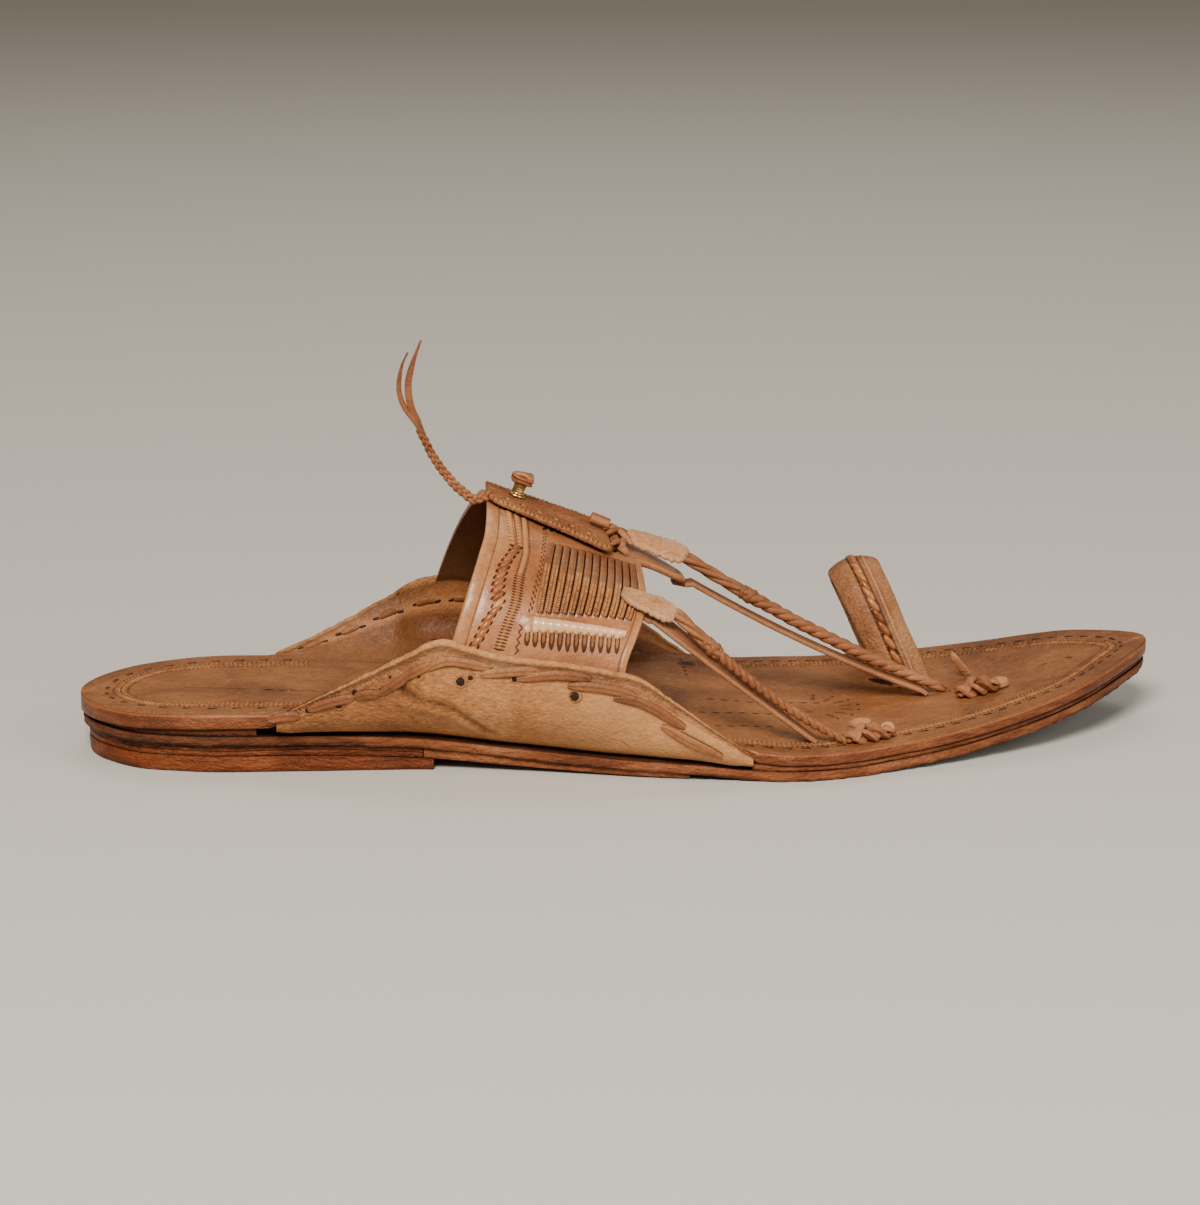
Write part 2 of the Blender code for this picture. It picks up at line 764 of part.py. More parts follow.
def make_pad(side, name):
    """A leaf-shaped suede pad over the root of a strap."""
    rear, front = pad_line(side)
    angle, share = (LATERAL_ANGLE, LATERAL_PAD[0]) if side == LATERAL else (MEDIAL_ANGLE, MEDIAL_PAD[0])
    across = round_the_band(share, angle)
    outward = (front - rear).cross(across).normalized()
    thick = PAD_WALL / 2
    rings = []
    for place, width in PAD_SHAPE:
        half = PAD_WIDTH / 2 * width
        outline = ((-half, -thick), (half, -thick), (half, -0.1 * thick), (0.6 * half, 0.75 * thick),
                   (0, thick), (-0.6 * half, 0.75 * thick), (-half, -0.1 * thick))
        rings.append([rear.lerp(front, place) + across * u + outward * v for u, v in outline])
    add_piece(name, loft_mesh(name, rings), SUEDE, 0.95)


def on_footbed(share, y_share, side, lift):
    """Point above the footbed, beside the axis by a share of the sole's reach on that side."""
    return Vector((along(share), side * y_share * reach(share, side), footbed(share) + lift))


def sagging(start, end, sag, count):
    """Points from start to end that hang below the straight line by the sag."""
    points = []
    for i in range(count):
        place = i / (count - 1)
        points.append(start.lerp(end, place) - Vector((0, 0, sag * 4 * place * (1 - place))))
    return points


def make_cord_and_strap(side, braid_name, strap_name):
    """A plaited cord and the flat strap that hangs under it, from the band down to the footbed."""
    lateral = side == LATERAL
    sag = LATERAL_SAG if lateral else MEDIAL_SAG
    rear, front = pad_line(side)
    start = front + (front - rear).normalized() * (GAP + BRAID_DIAMETER * 0.3)
    thin = BRAID_DIAMETER / 2 * BRAID_SHAPE[-1][1]
    end = on_footbed(*(LATERAL_BRAID_END if lateral else MEDIAL_BRAID_END), side, GAP + thin)
    count = 26 if lateral else 40
    section = plait_section(lambda place: BRAID_DIAMETER / 2 * read(BRAID_SHAPE, place), count / 7)
    rings = sweep_rings(sagging(start, end, sag, count), section, fixed(0, 1, 0))
    add_piece(braid_name, loft_mesh(braid_name, rings), PALE_TAN, 0.6)

    angle = LATERAL_ANGLE if lateral else PRONG_ANGLE
    root_share = band_edges(angle)[1]
    root = band_point(root_share, angle)
    end = on_footbed(*(LATERAL_STRAP_END if lateral else MEDIAL_STRAP_END), side, GAP + STRAP_WALL / 2)
    start = root + (end - root).normalized() * (GAP + STRAP_WALL)
    strap_sag = LATERAL_STRAP_SAG if lateral else MEDIAL_STRAP_SAG
    half, thick = STRAP_WIDTH / 2, STRAP_WALL / 2
    flat = ((-half, -thick), (half, -thick), (half, thick), (-half, thick))
    root_side, end_side = round_the_band(root_share, angle), Vector((0, 1, 0))
    rings = sweep_rings(sagging(start, end, strap_sag, 13), lambda place: flat,
                        lambda place: root_side.lerp(end_side, place).normalized())
    add_piece(strap_name, loft_mesh(strap_name, rings), PALE_TAN, 0.65)


def make_toe_loop():
    """The strap that arches over the big toe, leaning back, with a woven strip down its middle."""
    centre_y = LOOP_CENTRE * reach(LOOP_AT, MEDIAL)
    base = footbed(LOOP_AT + LOOP_WIDTH / 2 / SOLE_LENGTH) + GAP
    path = []
    for i in range(17):
        angle = pi * i / 16
        y = centre_y - LOOP_SPAN / 2 * copysign(abs(cos(angle)) ** 0.8, cos(angle))
        rise = sin(angle) ** 0.8 if 0 < i < 16 else 0.0
        path.append(Vector((along(LOOP_AT) - LOOP_LEAN * rise, y, base + LOOP_HEIGHT * rise)))
    half, thick, weave = LOOP_WIDTH / 2, LOOP_WALL / 2, LOOP_WEAVE / 2
    raised = thick + LOOP_RELIEF
    crown = LOOP_CROWN
    outline = ((-half, -thick), (0, crown - thick), (half, -thick), (half, thick),
               (weave, thick + 0.8 * crown), (weave, raised + 0.9 * crown), (-weave, raised + 0.9 * crown),
               (-weave, thick + 0.8 * crown), (-half, thick))

    def side(place):
        tilt = radians(LOOP_TILT) * sin(pi * place) ** 2
        return Vector((cos(tilt), 0, sin(tilt)))

    rings = sweep_rings(path, lambda place: outline, side)
    add_piece("toe_loop", loft_mesh("toe_loop", rings), TAN, 0.5)


def make_knot(name, side, spot):
    """A flat plaited knot on the footbed."""
    rear, front, y_share = spot
    lift = GAP + KNOT_HEIGHT / 2
    path = [on_footbed(mix(rear, front, i / 10), y_share, side, lift) for i in range(11)]

    def section(place):
        half = KNOT_WIDTH / 2 * (0.45 + 0.55 * sin(pi * mix(0.1, 0.9, place)))
        twisted = plait_section(lambda even: half, 1.6)(place)
        return [(u, v * KNOT_HEIGHT / KNOT_WIDTH) for u, v in twisted]

    add_piece(name, loft_mesh(name, sweep_rings(path, section, fixed(0, 1, 0))), PALE_TAN, 0.7)


def make_tab():
    """The small pointed tab that stands beside the front knot."""
    foot = on_footbed(*TAB_FOOT, MEDIAL, GAP)
    lean = Vector((-0.6, 0.0, 0.8))
    rings = []
    for place, width in TAB_SHAPE:
        point = foot + lean * TAB_LENGTH * place
        half, thick = TAB_WIDTH / 2 * width, TAB_WALL / 2
        outline = ((-thick, -half), (thick, -half), (thick, half), (-thick, half))
        rings.append([point + Vector((u, v, 0)) for u, v in outline])
    add_piece("toe_tab", loft_mesh("toe_tab", rings), PALE_TAN, 0.7)


def smooth_path(points, count):
    """Points on a smooth curve through a short route."""
    rows = [(i, *point) for i, point in enumerate(points)]
    last = len(points) - 1
    return [Vector(read(rows, last * i / (count - 1), column) for column in (1, 2, 3)) for i in range(count)]


def make_tail():
    """The plait that stands up behind the saddle strap and ends in two split strips."""
    side = -TAIL_OFF_CENTRE * SADDLE_REAR_WIDTH
    root = Vector((along(SADDLE[0]) - GAP - TAIL_DIAMETER * 0.4, side,
                   saddle_under(SADDLE[0], side) + SADDLE_WALL / 2))
    route = [root + TAIL_RISE * Vector((-back, across, up)) for back, across, up in TAIL_ROUTE]
    path = smooth_path(route, 26)
    section = plait_section(lambda place: TAIL_DIAMETER / 2 * mix(1.0, 0.75, place), 4)
    tail = add_piece("plaited_tail", loft_mesh("plaited_tail", sweep_rings(path, section, fixed(0, 1, 0))),
                     PALE_TAN, 0.65)
    for name, shares in (("tail_strip_rear", TAIL_REAR_STRIP), ("tail_strip_front", TAIL_FRONT_STRIP)):
        path = smooth_path([root + TAIL_RISE * Vector((-back, across, up)) for back, across, up in shares], 10)

        def strip(place):
            half = TAIL_STRIP_WIDTH / 2 * mix(1.0, 0.35, smooth(place * 2 - 1))
            thick = TAIL_STRIP_WALL / 2
            return ((-half, -thick), (half, -thick), (half, thick), (-half, thick))

        mesh = loft_mesh(name, sweep_rings(path, strip, fixed(0, 1, 0)))
        piece = bpy.data.objects.new(name, mesh)
        bpy.data.collections["joined_shapes"].objects.link(piece)
        piece.hide_render = True
        piece.display_type = "WIRE"
        join = tail.modifiers.new("join_" + name, "BOOLEAN")
        join.operation = "UNION"
        join.object = piece


def main():
    """Clear the scene and build every piece."""
    for item in list(bpy.data.objects):
        bpy.data.objects.remove(item, do_unlink=True)
    for name in ("kolhapuri_sandal", "joined_shapes"):
        bpy.context.scene.collection.children.link(bpy.data.collections.new(name))
    make_sole()
    make_insole()
    make_ear_cover(LATERAL, "ear_cover_lateral", LATERAL_EAR_END)
    make_ear_cover(MEDIAL, "ear_cover_medial", MEDIAL_EAR_END)
    make_band()
    make_saddle()
    make_stud()
    make_toggle()
    make_lashing()
    make_pad(LATERAL, "pad_lateral")
    make_pad(MEDIAL, "pad_medial")
    make_cord_and_strap(LATERAL, "braid_lateral", "strap_lateral")
    make_cord_and_strap(MEDIAL, "braid_medial", "strap_medial")
    make_toe_loop()
    make_knot("side_knot", LATERAL, SIDE_KNOT)
    make_knot("front_knot", LATERAL, FRONT_KNOT)
    make_tab()
    make_tail()


main()
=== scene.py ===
"""Dressed kolhapuri sandal for the right foot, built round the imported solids.

Each leather, cord and knot of the frame gets a finer piece of the same form, with its grooves, slits,
stitches and laces, and a procedural leather. Lengths are in metres, in the frame's own axes.
"""

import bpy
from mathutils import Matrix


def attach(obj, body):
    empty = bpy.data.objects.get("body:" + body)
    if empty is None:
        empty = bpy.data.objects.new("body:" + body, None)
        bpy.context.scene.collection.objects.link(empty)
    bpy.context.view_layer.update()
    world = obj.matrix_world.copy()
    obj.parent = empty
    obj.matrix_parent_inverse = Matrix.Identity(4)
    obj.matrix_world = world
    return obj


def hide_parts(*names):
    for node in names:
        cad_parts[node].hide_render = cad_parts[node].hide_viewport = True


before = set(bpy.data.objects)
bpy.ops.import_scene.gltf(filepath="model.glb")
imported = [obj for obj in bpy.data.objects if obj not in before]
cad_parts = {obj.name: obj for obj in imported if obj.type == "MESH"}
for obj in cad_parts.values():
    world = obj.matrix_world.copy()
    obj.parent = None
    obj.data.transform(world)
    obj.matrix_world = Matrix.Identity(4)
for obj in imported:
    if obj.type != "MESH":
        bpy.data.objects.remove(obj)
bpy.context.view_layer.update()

import random
from functools import lru_cache
from math import acos, copysign, cos, exp, hypot, pi, radians, sin, sqrt

import bmesh
import bpy
import numpy as np
from mathutils import Matrix, Vector
from mathutils.bvhtree import BVHTree
from mathutils.noise import noise

random.seed(7)

MM = 0.001
LATERAL = -1
MEDIAL = 1
AHEAD = Vector((1, 0, 0))
ACROSS = Vector((0, 1, 0))
UP = Vector((0, 0, 1))

# Sole, from the floor up
SOLE_LENGTH = 286.6 * MM
BALL_WIDTH = 102.6 * MM
HEEL_WIDTH = 62 * MM
LOWER_LIFT = 4.0 * MM
UPPER_LIFT = 2.6 * MM
STRIP_TIP = 1.0 * MM
OUTSOLE = 2.4 * MM
HEEL_RAND = 0.5 * MM
TOE_RAND = 1.1 * MM
INSOLE_HEEL = 4.2 * MM
INSOLE_FORE = 3.0 * MM
TOE_SPRING = 13 * MM
HEEL_INSET = 2.0 * MM
RAND_INSET = 1.5 * MM
GAP = 0.3 * MM
EAR_GAP = 0.7 * MM

# Ears
EAR_RISE = 25 * MM
WING = 2.3 * MM
COVER = 1.6 * MM
FOLD = 9 * MM
TUCK = 7 * MM

# Instep band and what lies on it
BAND_WIDTH = 93 * MM
BAND_HEIGHT = 70.8 * MM
BAND_WALL = 2.2 * MM
STRIP_RELIEF = 0.5 * MM
PRONG_REACH = 13 * MM
SADDLE_REAR_WIDTH = 21 * MM
SADDLE_FRONT_WIDTH = 36 * MM
SADDLE_WALL = 1.8 * MM
STUD_DIAMETER = 3.9 * MM
STUD_HEIGHT = 3.4 * MM
CAP_WIDTH = 5.6 * MM
CAP_HEIGHT = 2.8 * MM
TOGGLE_LENGTH = 5.2 * MM
TOGGLE_DIAMETER = 3.2 * MM
LASHING_DIAMETER = 3.0 * MM
PAD_WIDTH = 7.0 * MM
PAD_WALL = 2.2 * MM
MEDIAL_PAD_FRONT_LIFT = 3.0 * MM

# Straps and cords to the footbed
BRAID_DIAMETER = 3.4 * MM
STRAP_WIDTH = 6.5 * MM
STRAP_WALL = 1.8 * MM
LATERAL_SAG = 2.8 * MM
MEDIAL_SAG = 2.1 * MM
LATERAL_STRAP_SAG = 0.3 * MM
MEDIAL_STRAP_SAG = 1.7 * MM
KNOT_WIDTH = 9 * MM
KNOT_HEIGHT = 3.4 * MM
TAB_WIDTH = 2.6 * MM
TAB_LENGTH = 7.5 * MM
TAB_WALL = 1.2 * MM

# Toe loop
LOOP_WIDTH = 14 * MM
LOOP_WALL = 2.0 * MM
LOOP_HEIGHT = 27.2 * MM
LOOP_SPAN = 25 * MM
LOOP_LEAN = 12 * MM
LOOP_TILT = 15

# Plaited tail
TAIL_DIAMETER = 3.2 * MM
TAIL_RISE = 40 * MM
TAIL_STRIP_WALL = 1.2 * MM

# Places along the sole, as shares of its length
END_CUT = 0.0009
WIDENING = (0.295, 0.594)
BREAST = 0.3154
LIFT_JOINT = 0.3055
STRIP_END = 0.544
HEEL_RAND_END = 0.156
TOE_RAND_START = 0.610
RAND_EASE = 0.02
INSOLE_THINNED = 0.6
EAR_START = 0.178
LATERAL_EAR_END = 0.598
MEDIAL_EAR_END = 0.584
SADDLE = (0.374, 0.4835)
STUD_AT = 0.400
TOGGLE_AT = 0.4745
LASHING_AT = 0.492
LATERAL_PAD = (0.487, 0.532)
MEDIAL_PAD = (0.501, 0.556)
LOOP_AT = 0.771

# Where cords, straps and knots meet the footbed: shares of the length, then of the reach to one side
LATERAL_BRAID_END = (0.681, 0.82)
LATERAL_STRAP_END = (0.655, 0.74)
MEDIAL_BRAID_END = (0.795, 0.03)
MEDIAL_STRAP_END = (0.779, 0.03)
SIDE_KNOT = (0.685, 0.728, 0.82)
FRONT_KNOT = (0.808, 0.846, 0.19)
TAB_FOOT = (0.830, 0.26)
LOOP_CENTRE = 0.565

# Angles round the band, up from its lateral side, in degrees
LATERAL_ANGLE = 49
MEDIAL_ANGLE = 93
PRONG_ANGLE = 95
PRONG_TIP_HALF_ANGLE = 3
PRONG_ROOT_HALF_ANGLE = 14

HEEL_STACK = LOWER_LIFT + UPPER_LIFT + 2 * GAP
PAD_LIFT = BAND_WALL / 2 + STRIP_RELIEF + GAP + PAD_WALL / 2
SAG_POINTS = 60

# Plan of the sole: share of its length, then each edge's share of the local half width
OUTLINE = (
    (0.00, 0.000, 0.000),
    (0.02, 0.540, 0.540),
    (0.06, 0.855, 0.855),
    (0.127, 1.000, 1.000),
    (0.246, 1.040, 0.970),
    (0.345, 1.060, 0.955),
    (0.465, 0.972, 0.950),
    (0.564, 0.956, 0.972),
    (0.643, 1.000, 1.000),
    (0.743, 0.838, 0.980),
    (0.842, 0.620, 0.889),
    (0.922, 0.363, 0.752),
    (0.972, 0.068, 0.536),
    (1.00, -0.253, 0.253),
)

# Share of the heel stack under the outsole
HEEL_RISE = (
    (0.000, 1.00),
    (0.196, 1.00),
    (0.286, 0.89),
    (0.345, 0.71),
    (0.390, 0.55),
    (0.465, 0.33),
    (0.544, 0.21),
    (0.594, 0.05),
    (0.624, 0.00),
    (1.000, 0.00),
)

# Share of the toe spring
TOE_RISE = (
    (0.000, 0.00),
    (0.693, 0.00),
    (0.743, 0.05),
    (0.793, 0.15),
    (0.842, 0.31),
    (0.892, 0.51),
    (0.942, 0.76),
    (1.000, 1.00),
)

# Share of the ears' rise on the lateral and on the medial side
EARS = (
    (0.170, 0.00, 0.00),
    (0.198, 0.17, 0.12),
    (0.243, 0.45, 0.37),
    (0.285, 0.73, 0.63),
    (0.327, 0.97, 0.86),
    (0.350, 0.91, 0.91),
    (0.390, 0.85, 0.88),
    (0.425, 0.84, 0.88),
    (0.463, 0.80, 0.85),
    (0.491, 0.75, 0.77),
    (0.533, 0.47, 0.40),
    (0.568, 0.21, 0.10),
    (0.603, 0.00, 0.00),
)

# Where the band's end parts an ear's two leathers
BAND_IN_EAR = (
    (0.292, 0.0),
    (0.320, 1.0),
    (0.512, 1.0),
    (0.540, 0.0),
)

# Section of the band: half width as a share of its width, spring line and crown as shares of its height
BAND_SECTION = (
    (0.335, 0.430, 0.290, 0.972),
    (0.514, 0.485, 0.218, 0.675),
    (0.564, 0.500, 0.198, 0.557),
)
BAND_SQUARENESS = 2.3

# Rear and front edge of the band by the angle up from its side, as shares of the sole's length
BAND_EDGES = (
    (6, 0.3256, 0.4833),
    (18, 0.3367, 0.4877),
    (33, 0.3492, 0.4990),
    (48, 0.3601, 0.5080),
    (61, 0.3674, 0.5111),
    (90, 0.3733, 0.5118),
)

# Slit strips on each side of the band
STRIPS = 12

# Half width of a pad along its length
PAD_SHAPE = (
    (0.00, 0.35),
    (0.15, 0.68),
    (0.45, 0.85),
    (0.75, 1.00),
    (0.92, 0.76),
    (1.00, 0.42),
)

# Thickness of a plaited cord along its length: full at the pad, a knot, thin where it is drawn in
BRAID_SHAPE = (
    (0.00, 1.00),
    (0.23, 1.00),
    (0.29, 1.45),
    (0.35, 0.95),
    (0.80, 0.85),
    (1.00, 0.68),
)

# Half width of the toe tab along its length
TAB_SHAPE = (
    (0.0, 0.9),
    (0.3, 1.0),
    (0.6, 0.9),
    (0.85, 0.7),
    (1.0, 0.3),
)

# Plaited tail, as shares of its rise: back from its root, across and up
TAIL_ROUTE = (
    (0.00, 0.00, 0.00),
    (0.05, 0.01, -0.02),
    (0.09, 0.01, 0.00),
    (0.20, 0.02, 0.10),
    (0.31, 0.03, 0.25),
    (0.37, 0.03, 0.37),
    (0.41, 0.03, 0.45),
)

# Shaping of the leathers, as shares
WING_HELD = 0.5
WING_THINNED = 0.3
FOLD_LIMIT = 0.45
COVER_SHOULDER = 0.45
SADDLE_FALL = 0.5
TAIL_OFF_CENTRE = 0.36


def mix(low, high, share):
    """Value between two others."""
    return low + (high - low) * share


def smooth(value):
    """Ease from 0 to 1, level at both ends."""
    value = min(max(value, 0.0), 1.0)
    return value * value * (3 - 2 * value)


def read(table, place, column=1):
    """Read a column of a table on a smooth curve that never passes beyond its rows."""
    places = [row[0] for row in table]
    values = [row[column] for row in table]
    place = min(max(place, places[0]), places[-1])
    slopes = [(values[i + 1] - values[i]) / (places[i + 1] - places[i]) for i in range(len(table) - 1)]

    def tangent(i):
        before, after = slopes[max(i - 1, 0)], slopes[min(i, len(slopes) - 1)]
        return 2 * before * after / (before + after) if before * after > 0 else 0.0

    row = max(i for i in range(len(slopes)) if places[i] <= place)
    width = places[row + 1] - places[row]
    t = (place - places[row]) / width
    ease = t * t * (3 - 2 * t)
    bend = t * (1 - t) * width * ((1 - t) * tangent(row) - t * tangent(row + 1))
    return mix(values[row], values[row + 1], ease) + bend


def ramp(value, start, width):
    """Eased share of the way that a value has gone from a start."""
    return smooth((value - start) / width)


def turn(share):
    """Angle round a half circle whose shadow on the sole's length is this share."""
    return acos(1 - 2 * min(max(share, 0.0), 1.0))


def stations(start, end, count):
    """Shares of the sole's length, closer together near its round ends."""
    angles = [mix(turn(start), turn(end), i / (count - 1)) for i in range(count)]
    return [(1 - cos(angle)) / 2 for angle in angles]


OUTLINE_BY_TURN = [(turn(share), lateral, medial) for share, lateral, medial in OUTLINE]


def reach(share, side, inset=0.0):
    """How far one edge of the sole lies from the axis."""
    def plain(place):
        wide = ramp(place, WIDENING[0], WIDENING[1] - WIDENING[0])
        half = mix(HEEL_WIDTH, BALL_WIDTH, wide) / 2
        return half * read(OUTLINE_BY_TURN, turn(place), 1 if side == LATERAL else 2)

    step = 0.001
    slope = (plain(share + step) - plain(share - step)) / (2 * step * SOLE_LENGTH)
    return plain(share) - inset / hypot(1, slope)


def along(share, inset=0.0):
    """Place along the sole."""
    return (share - 0.5) * (SOLE_LENGTH - 2 * inset)


def rand(share):
    """Thickness of what lies between outsole and insole."""
    rows = ((0.0, HEEL_RAND), (HEEL_RAND_END, COVER), (TOE_RAND_START - RAND_EASE / 2, COVER),
            (TOE_RAND_START + RAND_EASE, TOE_RAND))
    return read(rows, share)


@lru_cache(maxsize=None)
def outsole_under(share):
    """Height of the outsole's lower face."""
    return HEEL_STACK * read(HEEL_RISE, share) + TOE_SPRING * read(TOE_RISE, share)


def outsole_top(share):
    """Height of the outsole's upper face."""
    return outsole_under(share) + OUTSOLE


@lru_cache(maxsize=None)
def insole_under(share):
    """Height of the insole's lower face, away from the wings."""
    return outsole_top(share) + rand(share) + 2 * GAP


def insole_thickness(share):
    """Thickness of the insole under the foot."""
    return mix(INSOLE_HEEL, INSOLE_FORE, smooth(share / INSOLE_THINNED))


@lru_cache(maxsize=None)
def footbed(share):
    """Height of the surface that the foot stands on."""
    return insole_under(share) + insole_thickness(share)


@lru_cache(maxsize=None)
def ear_share(share, side):
    """How much of its full rise an ear has."""
    return read(EARS, share, 1 if side == LATERAL else 2)


@lru_cache(maxsize=None)
def band_section(share):
    """Half width, spring line and crown above it of the band's middle surface."""
    half = BAND_WIDTH * read(BAND_SECTION, share, 1)
    spring = BAND_HEIGHT * read(BAND_SECTION, share, 2)
    return half, spring, BAND_HEIGHT * read(BAND_SECTION, share, 3) - spring


def band_point(share, angle, offset=0.0):
    """Point of the band at an angle up from its lateral side, offset outwards from its middle."""
    half, spring, crown = band_section(share)
    power = 2 / BAND_SQUARENESS
    across, up = cos(radians(angle)), sin(radians(angle))
    y = -(half + offset) * copysign(abs(across) ** power, across)
    return Vector((along(share), y, spring + (crown + offset) * up ** power))


@lru_cache(maxsize=None)
def band_side(share, height):
    """Distance from the axis to the band's middle surface at a height."""
    half, spring, crown = band_section(share)
    rise = min(max((height - spring) / crown, 0.0), 0.99)
    return half * (1 - rise ** BAND_SQUARENESS) ** (1 / BAND_SQUARENESS)


def band_height(share, y):
    """Height of the band's middle surface beside its ridge."""
    half, spring, crown = band_section(share)
    return spring + crown * (1 - abs(y / half) ** BAND_SQUARENESS) ** (1 / BAND_SQUARENESS)


def strip_thickness(share):
    """Thickness of the waist strip, which runs out towards the ball."""
    return mix(UPPER_LIFT, STRIP_TIP, (share - LIFT_JOINT) / (STRIP_END - LIFT_JOINT))


def lift_to_band(share, y, z, bottom, top, offset):
    """Draw a point of an ear towards the band's side where the band's end lies in the ear."""
    held = smooth((z - bottom) / max(WING_HELD * (top - bottom), MM)) * read(BAND_IN_EAR, share)
    return mix(y, band_side(share, z) + offset, held)


def line_normals(line):
    """Unit normals of a section line, on its upper and inner side."""
    normals = []
    for i in range(len(line)):
        (y0, z0), (y1, z1) = line[max(i - 1, 0)], line[min(i + 1, len(line) - 1)]
        length = hypot(y1 - y0, z1 - z0)
        normals.append((-(z1 - z0) / length, (y1 - y0) / length))
    return normals


def band_edges(angle):
    """Rear and front edge of the band at an angle, with the prong for the medial strap."""
    fold = min(angle, 180 - angle)
    off_prong = abs(angle - PRONG_ANGLE)
    fade = (PRONG_ROOT_HALF_ANGLE - off_prong) / (PRONG_ROOT_HALF_ANGLE - PRONG_TIP_HALF_ANGLE)
    front = read(BAND_EDGES, fold, 2) + PRONG_REACH / SOLE_LENGTH * smooth(fade)
    return read(BAND_EDGES, fold, 1), front


def saddle_under(share, y):
    """Height of the saddle strap's lower face, which spans the band's ridge and lifts at its edges."""
    ridge = band_height(share, 0.0)
    return ridge + BAND_WALL / 2 + GAP - SADDLE_FALL * (ridge - band_height(share, y))


def ridge_frame(share, lift):
    """Placement on the ridge with its Z axis square to the slope, raised above the saddle strap."""
    step = 0.01
    ahead = Vector((2 * step * SOLE_LENGTH, 0, band_height(share + step, 0) - band_height(share - step, 0)))
    ahead.normalize()
    up = ahead.cross(ACROSS)
    base = Vector((along(share), 0, saddle_under(share, 0.0) + SADDLE_WALL))
    turned = Matrix((ahead, ACROSS, up)).transposed().to_4x4()
    return Matrix.Translation(base + up * lift) @ turned


def pad_line(side):
    """Middle of a pad at its rear and at its front, where the plaited cord leaves it."""
    if side == LATERAL:
        return tuple(band_point(share, LATERAL_ANGLE, PAD_LIFT) for share in LATERAL_PAD)
    rear, front = (band_point(share, MEDIAL_ANGLE, PAD_LIFT) for share in MEDIAL_PAD)
    front.z += MEDIAL_PAD_FRONT_LIFT
    return rear, front


def round_the_band(share, angle):
    """Way that runs round the band, square to its length, from its lateral to its medial side."""
    return (band_point(share, angle + 1) - band_point(share, angle - 1)).normalized()


def on_footbed(share, y_share, side, lift):
    """Point above the footbed, beside the axis by a share of the sole's reach on that side."""
    return Vector((along(share), side * y_share * reach(share, side), footbed(share) + lift))


def shares_of(count):
    """Even shares from 0 to 1."""
    return [i / (count - 1) for i in range(count)]


def sagging(start, end, sag):
    """Points from start to end that hang below the straight line by the sag."""
    return [start.lerp(end, q) - UP * (sag * 4 * q * (1 - q)) for q in shares_of(SAG_POINTS)]


# Leather and metal finishes

# How fine the patterns of the leathers are, per metre
MOTTLE_SCALE = 42.0
FOLD_SCALE = 210.0
SPECK_SCALE = 620.0
PORE_SCALE = 1250.0
HAIR_SCALE = 2300.0
BUMP_DEPTH = 0.22 * MM
# How dark the most negative tone goes, as a share of the dark colour: painted shade in slits, holes and under
# parts, and dark marks.
SUNK_SHADE = 0.16
SHARP_ANGLE = 50


def srgb(red, green, blue):
    """Linear colour of an sRGB value from 0 to 255."""
    return tuple(((part / 255 + 0.055) / 1.055) ** 2.4 for part in (red, green, blue))


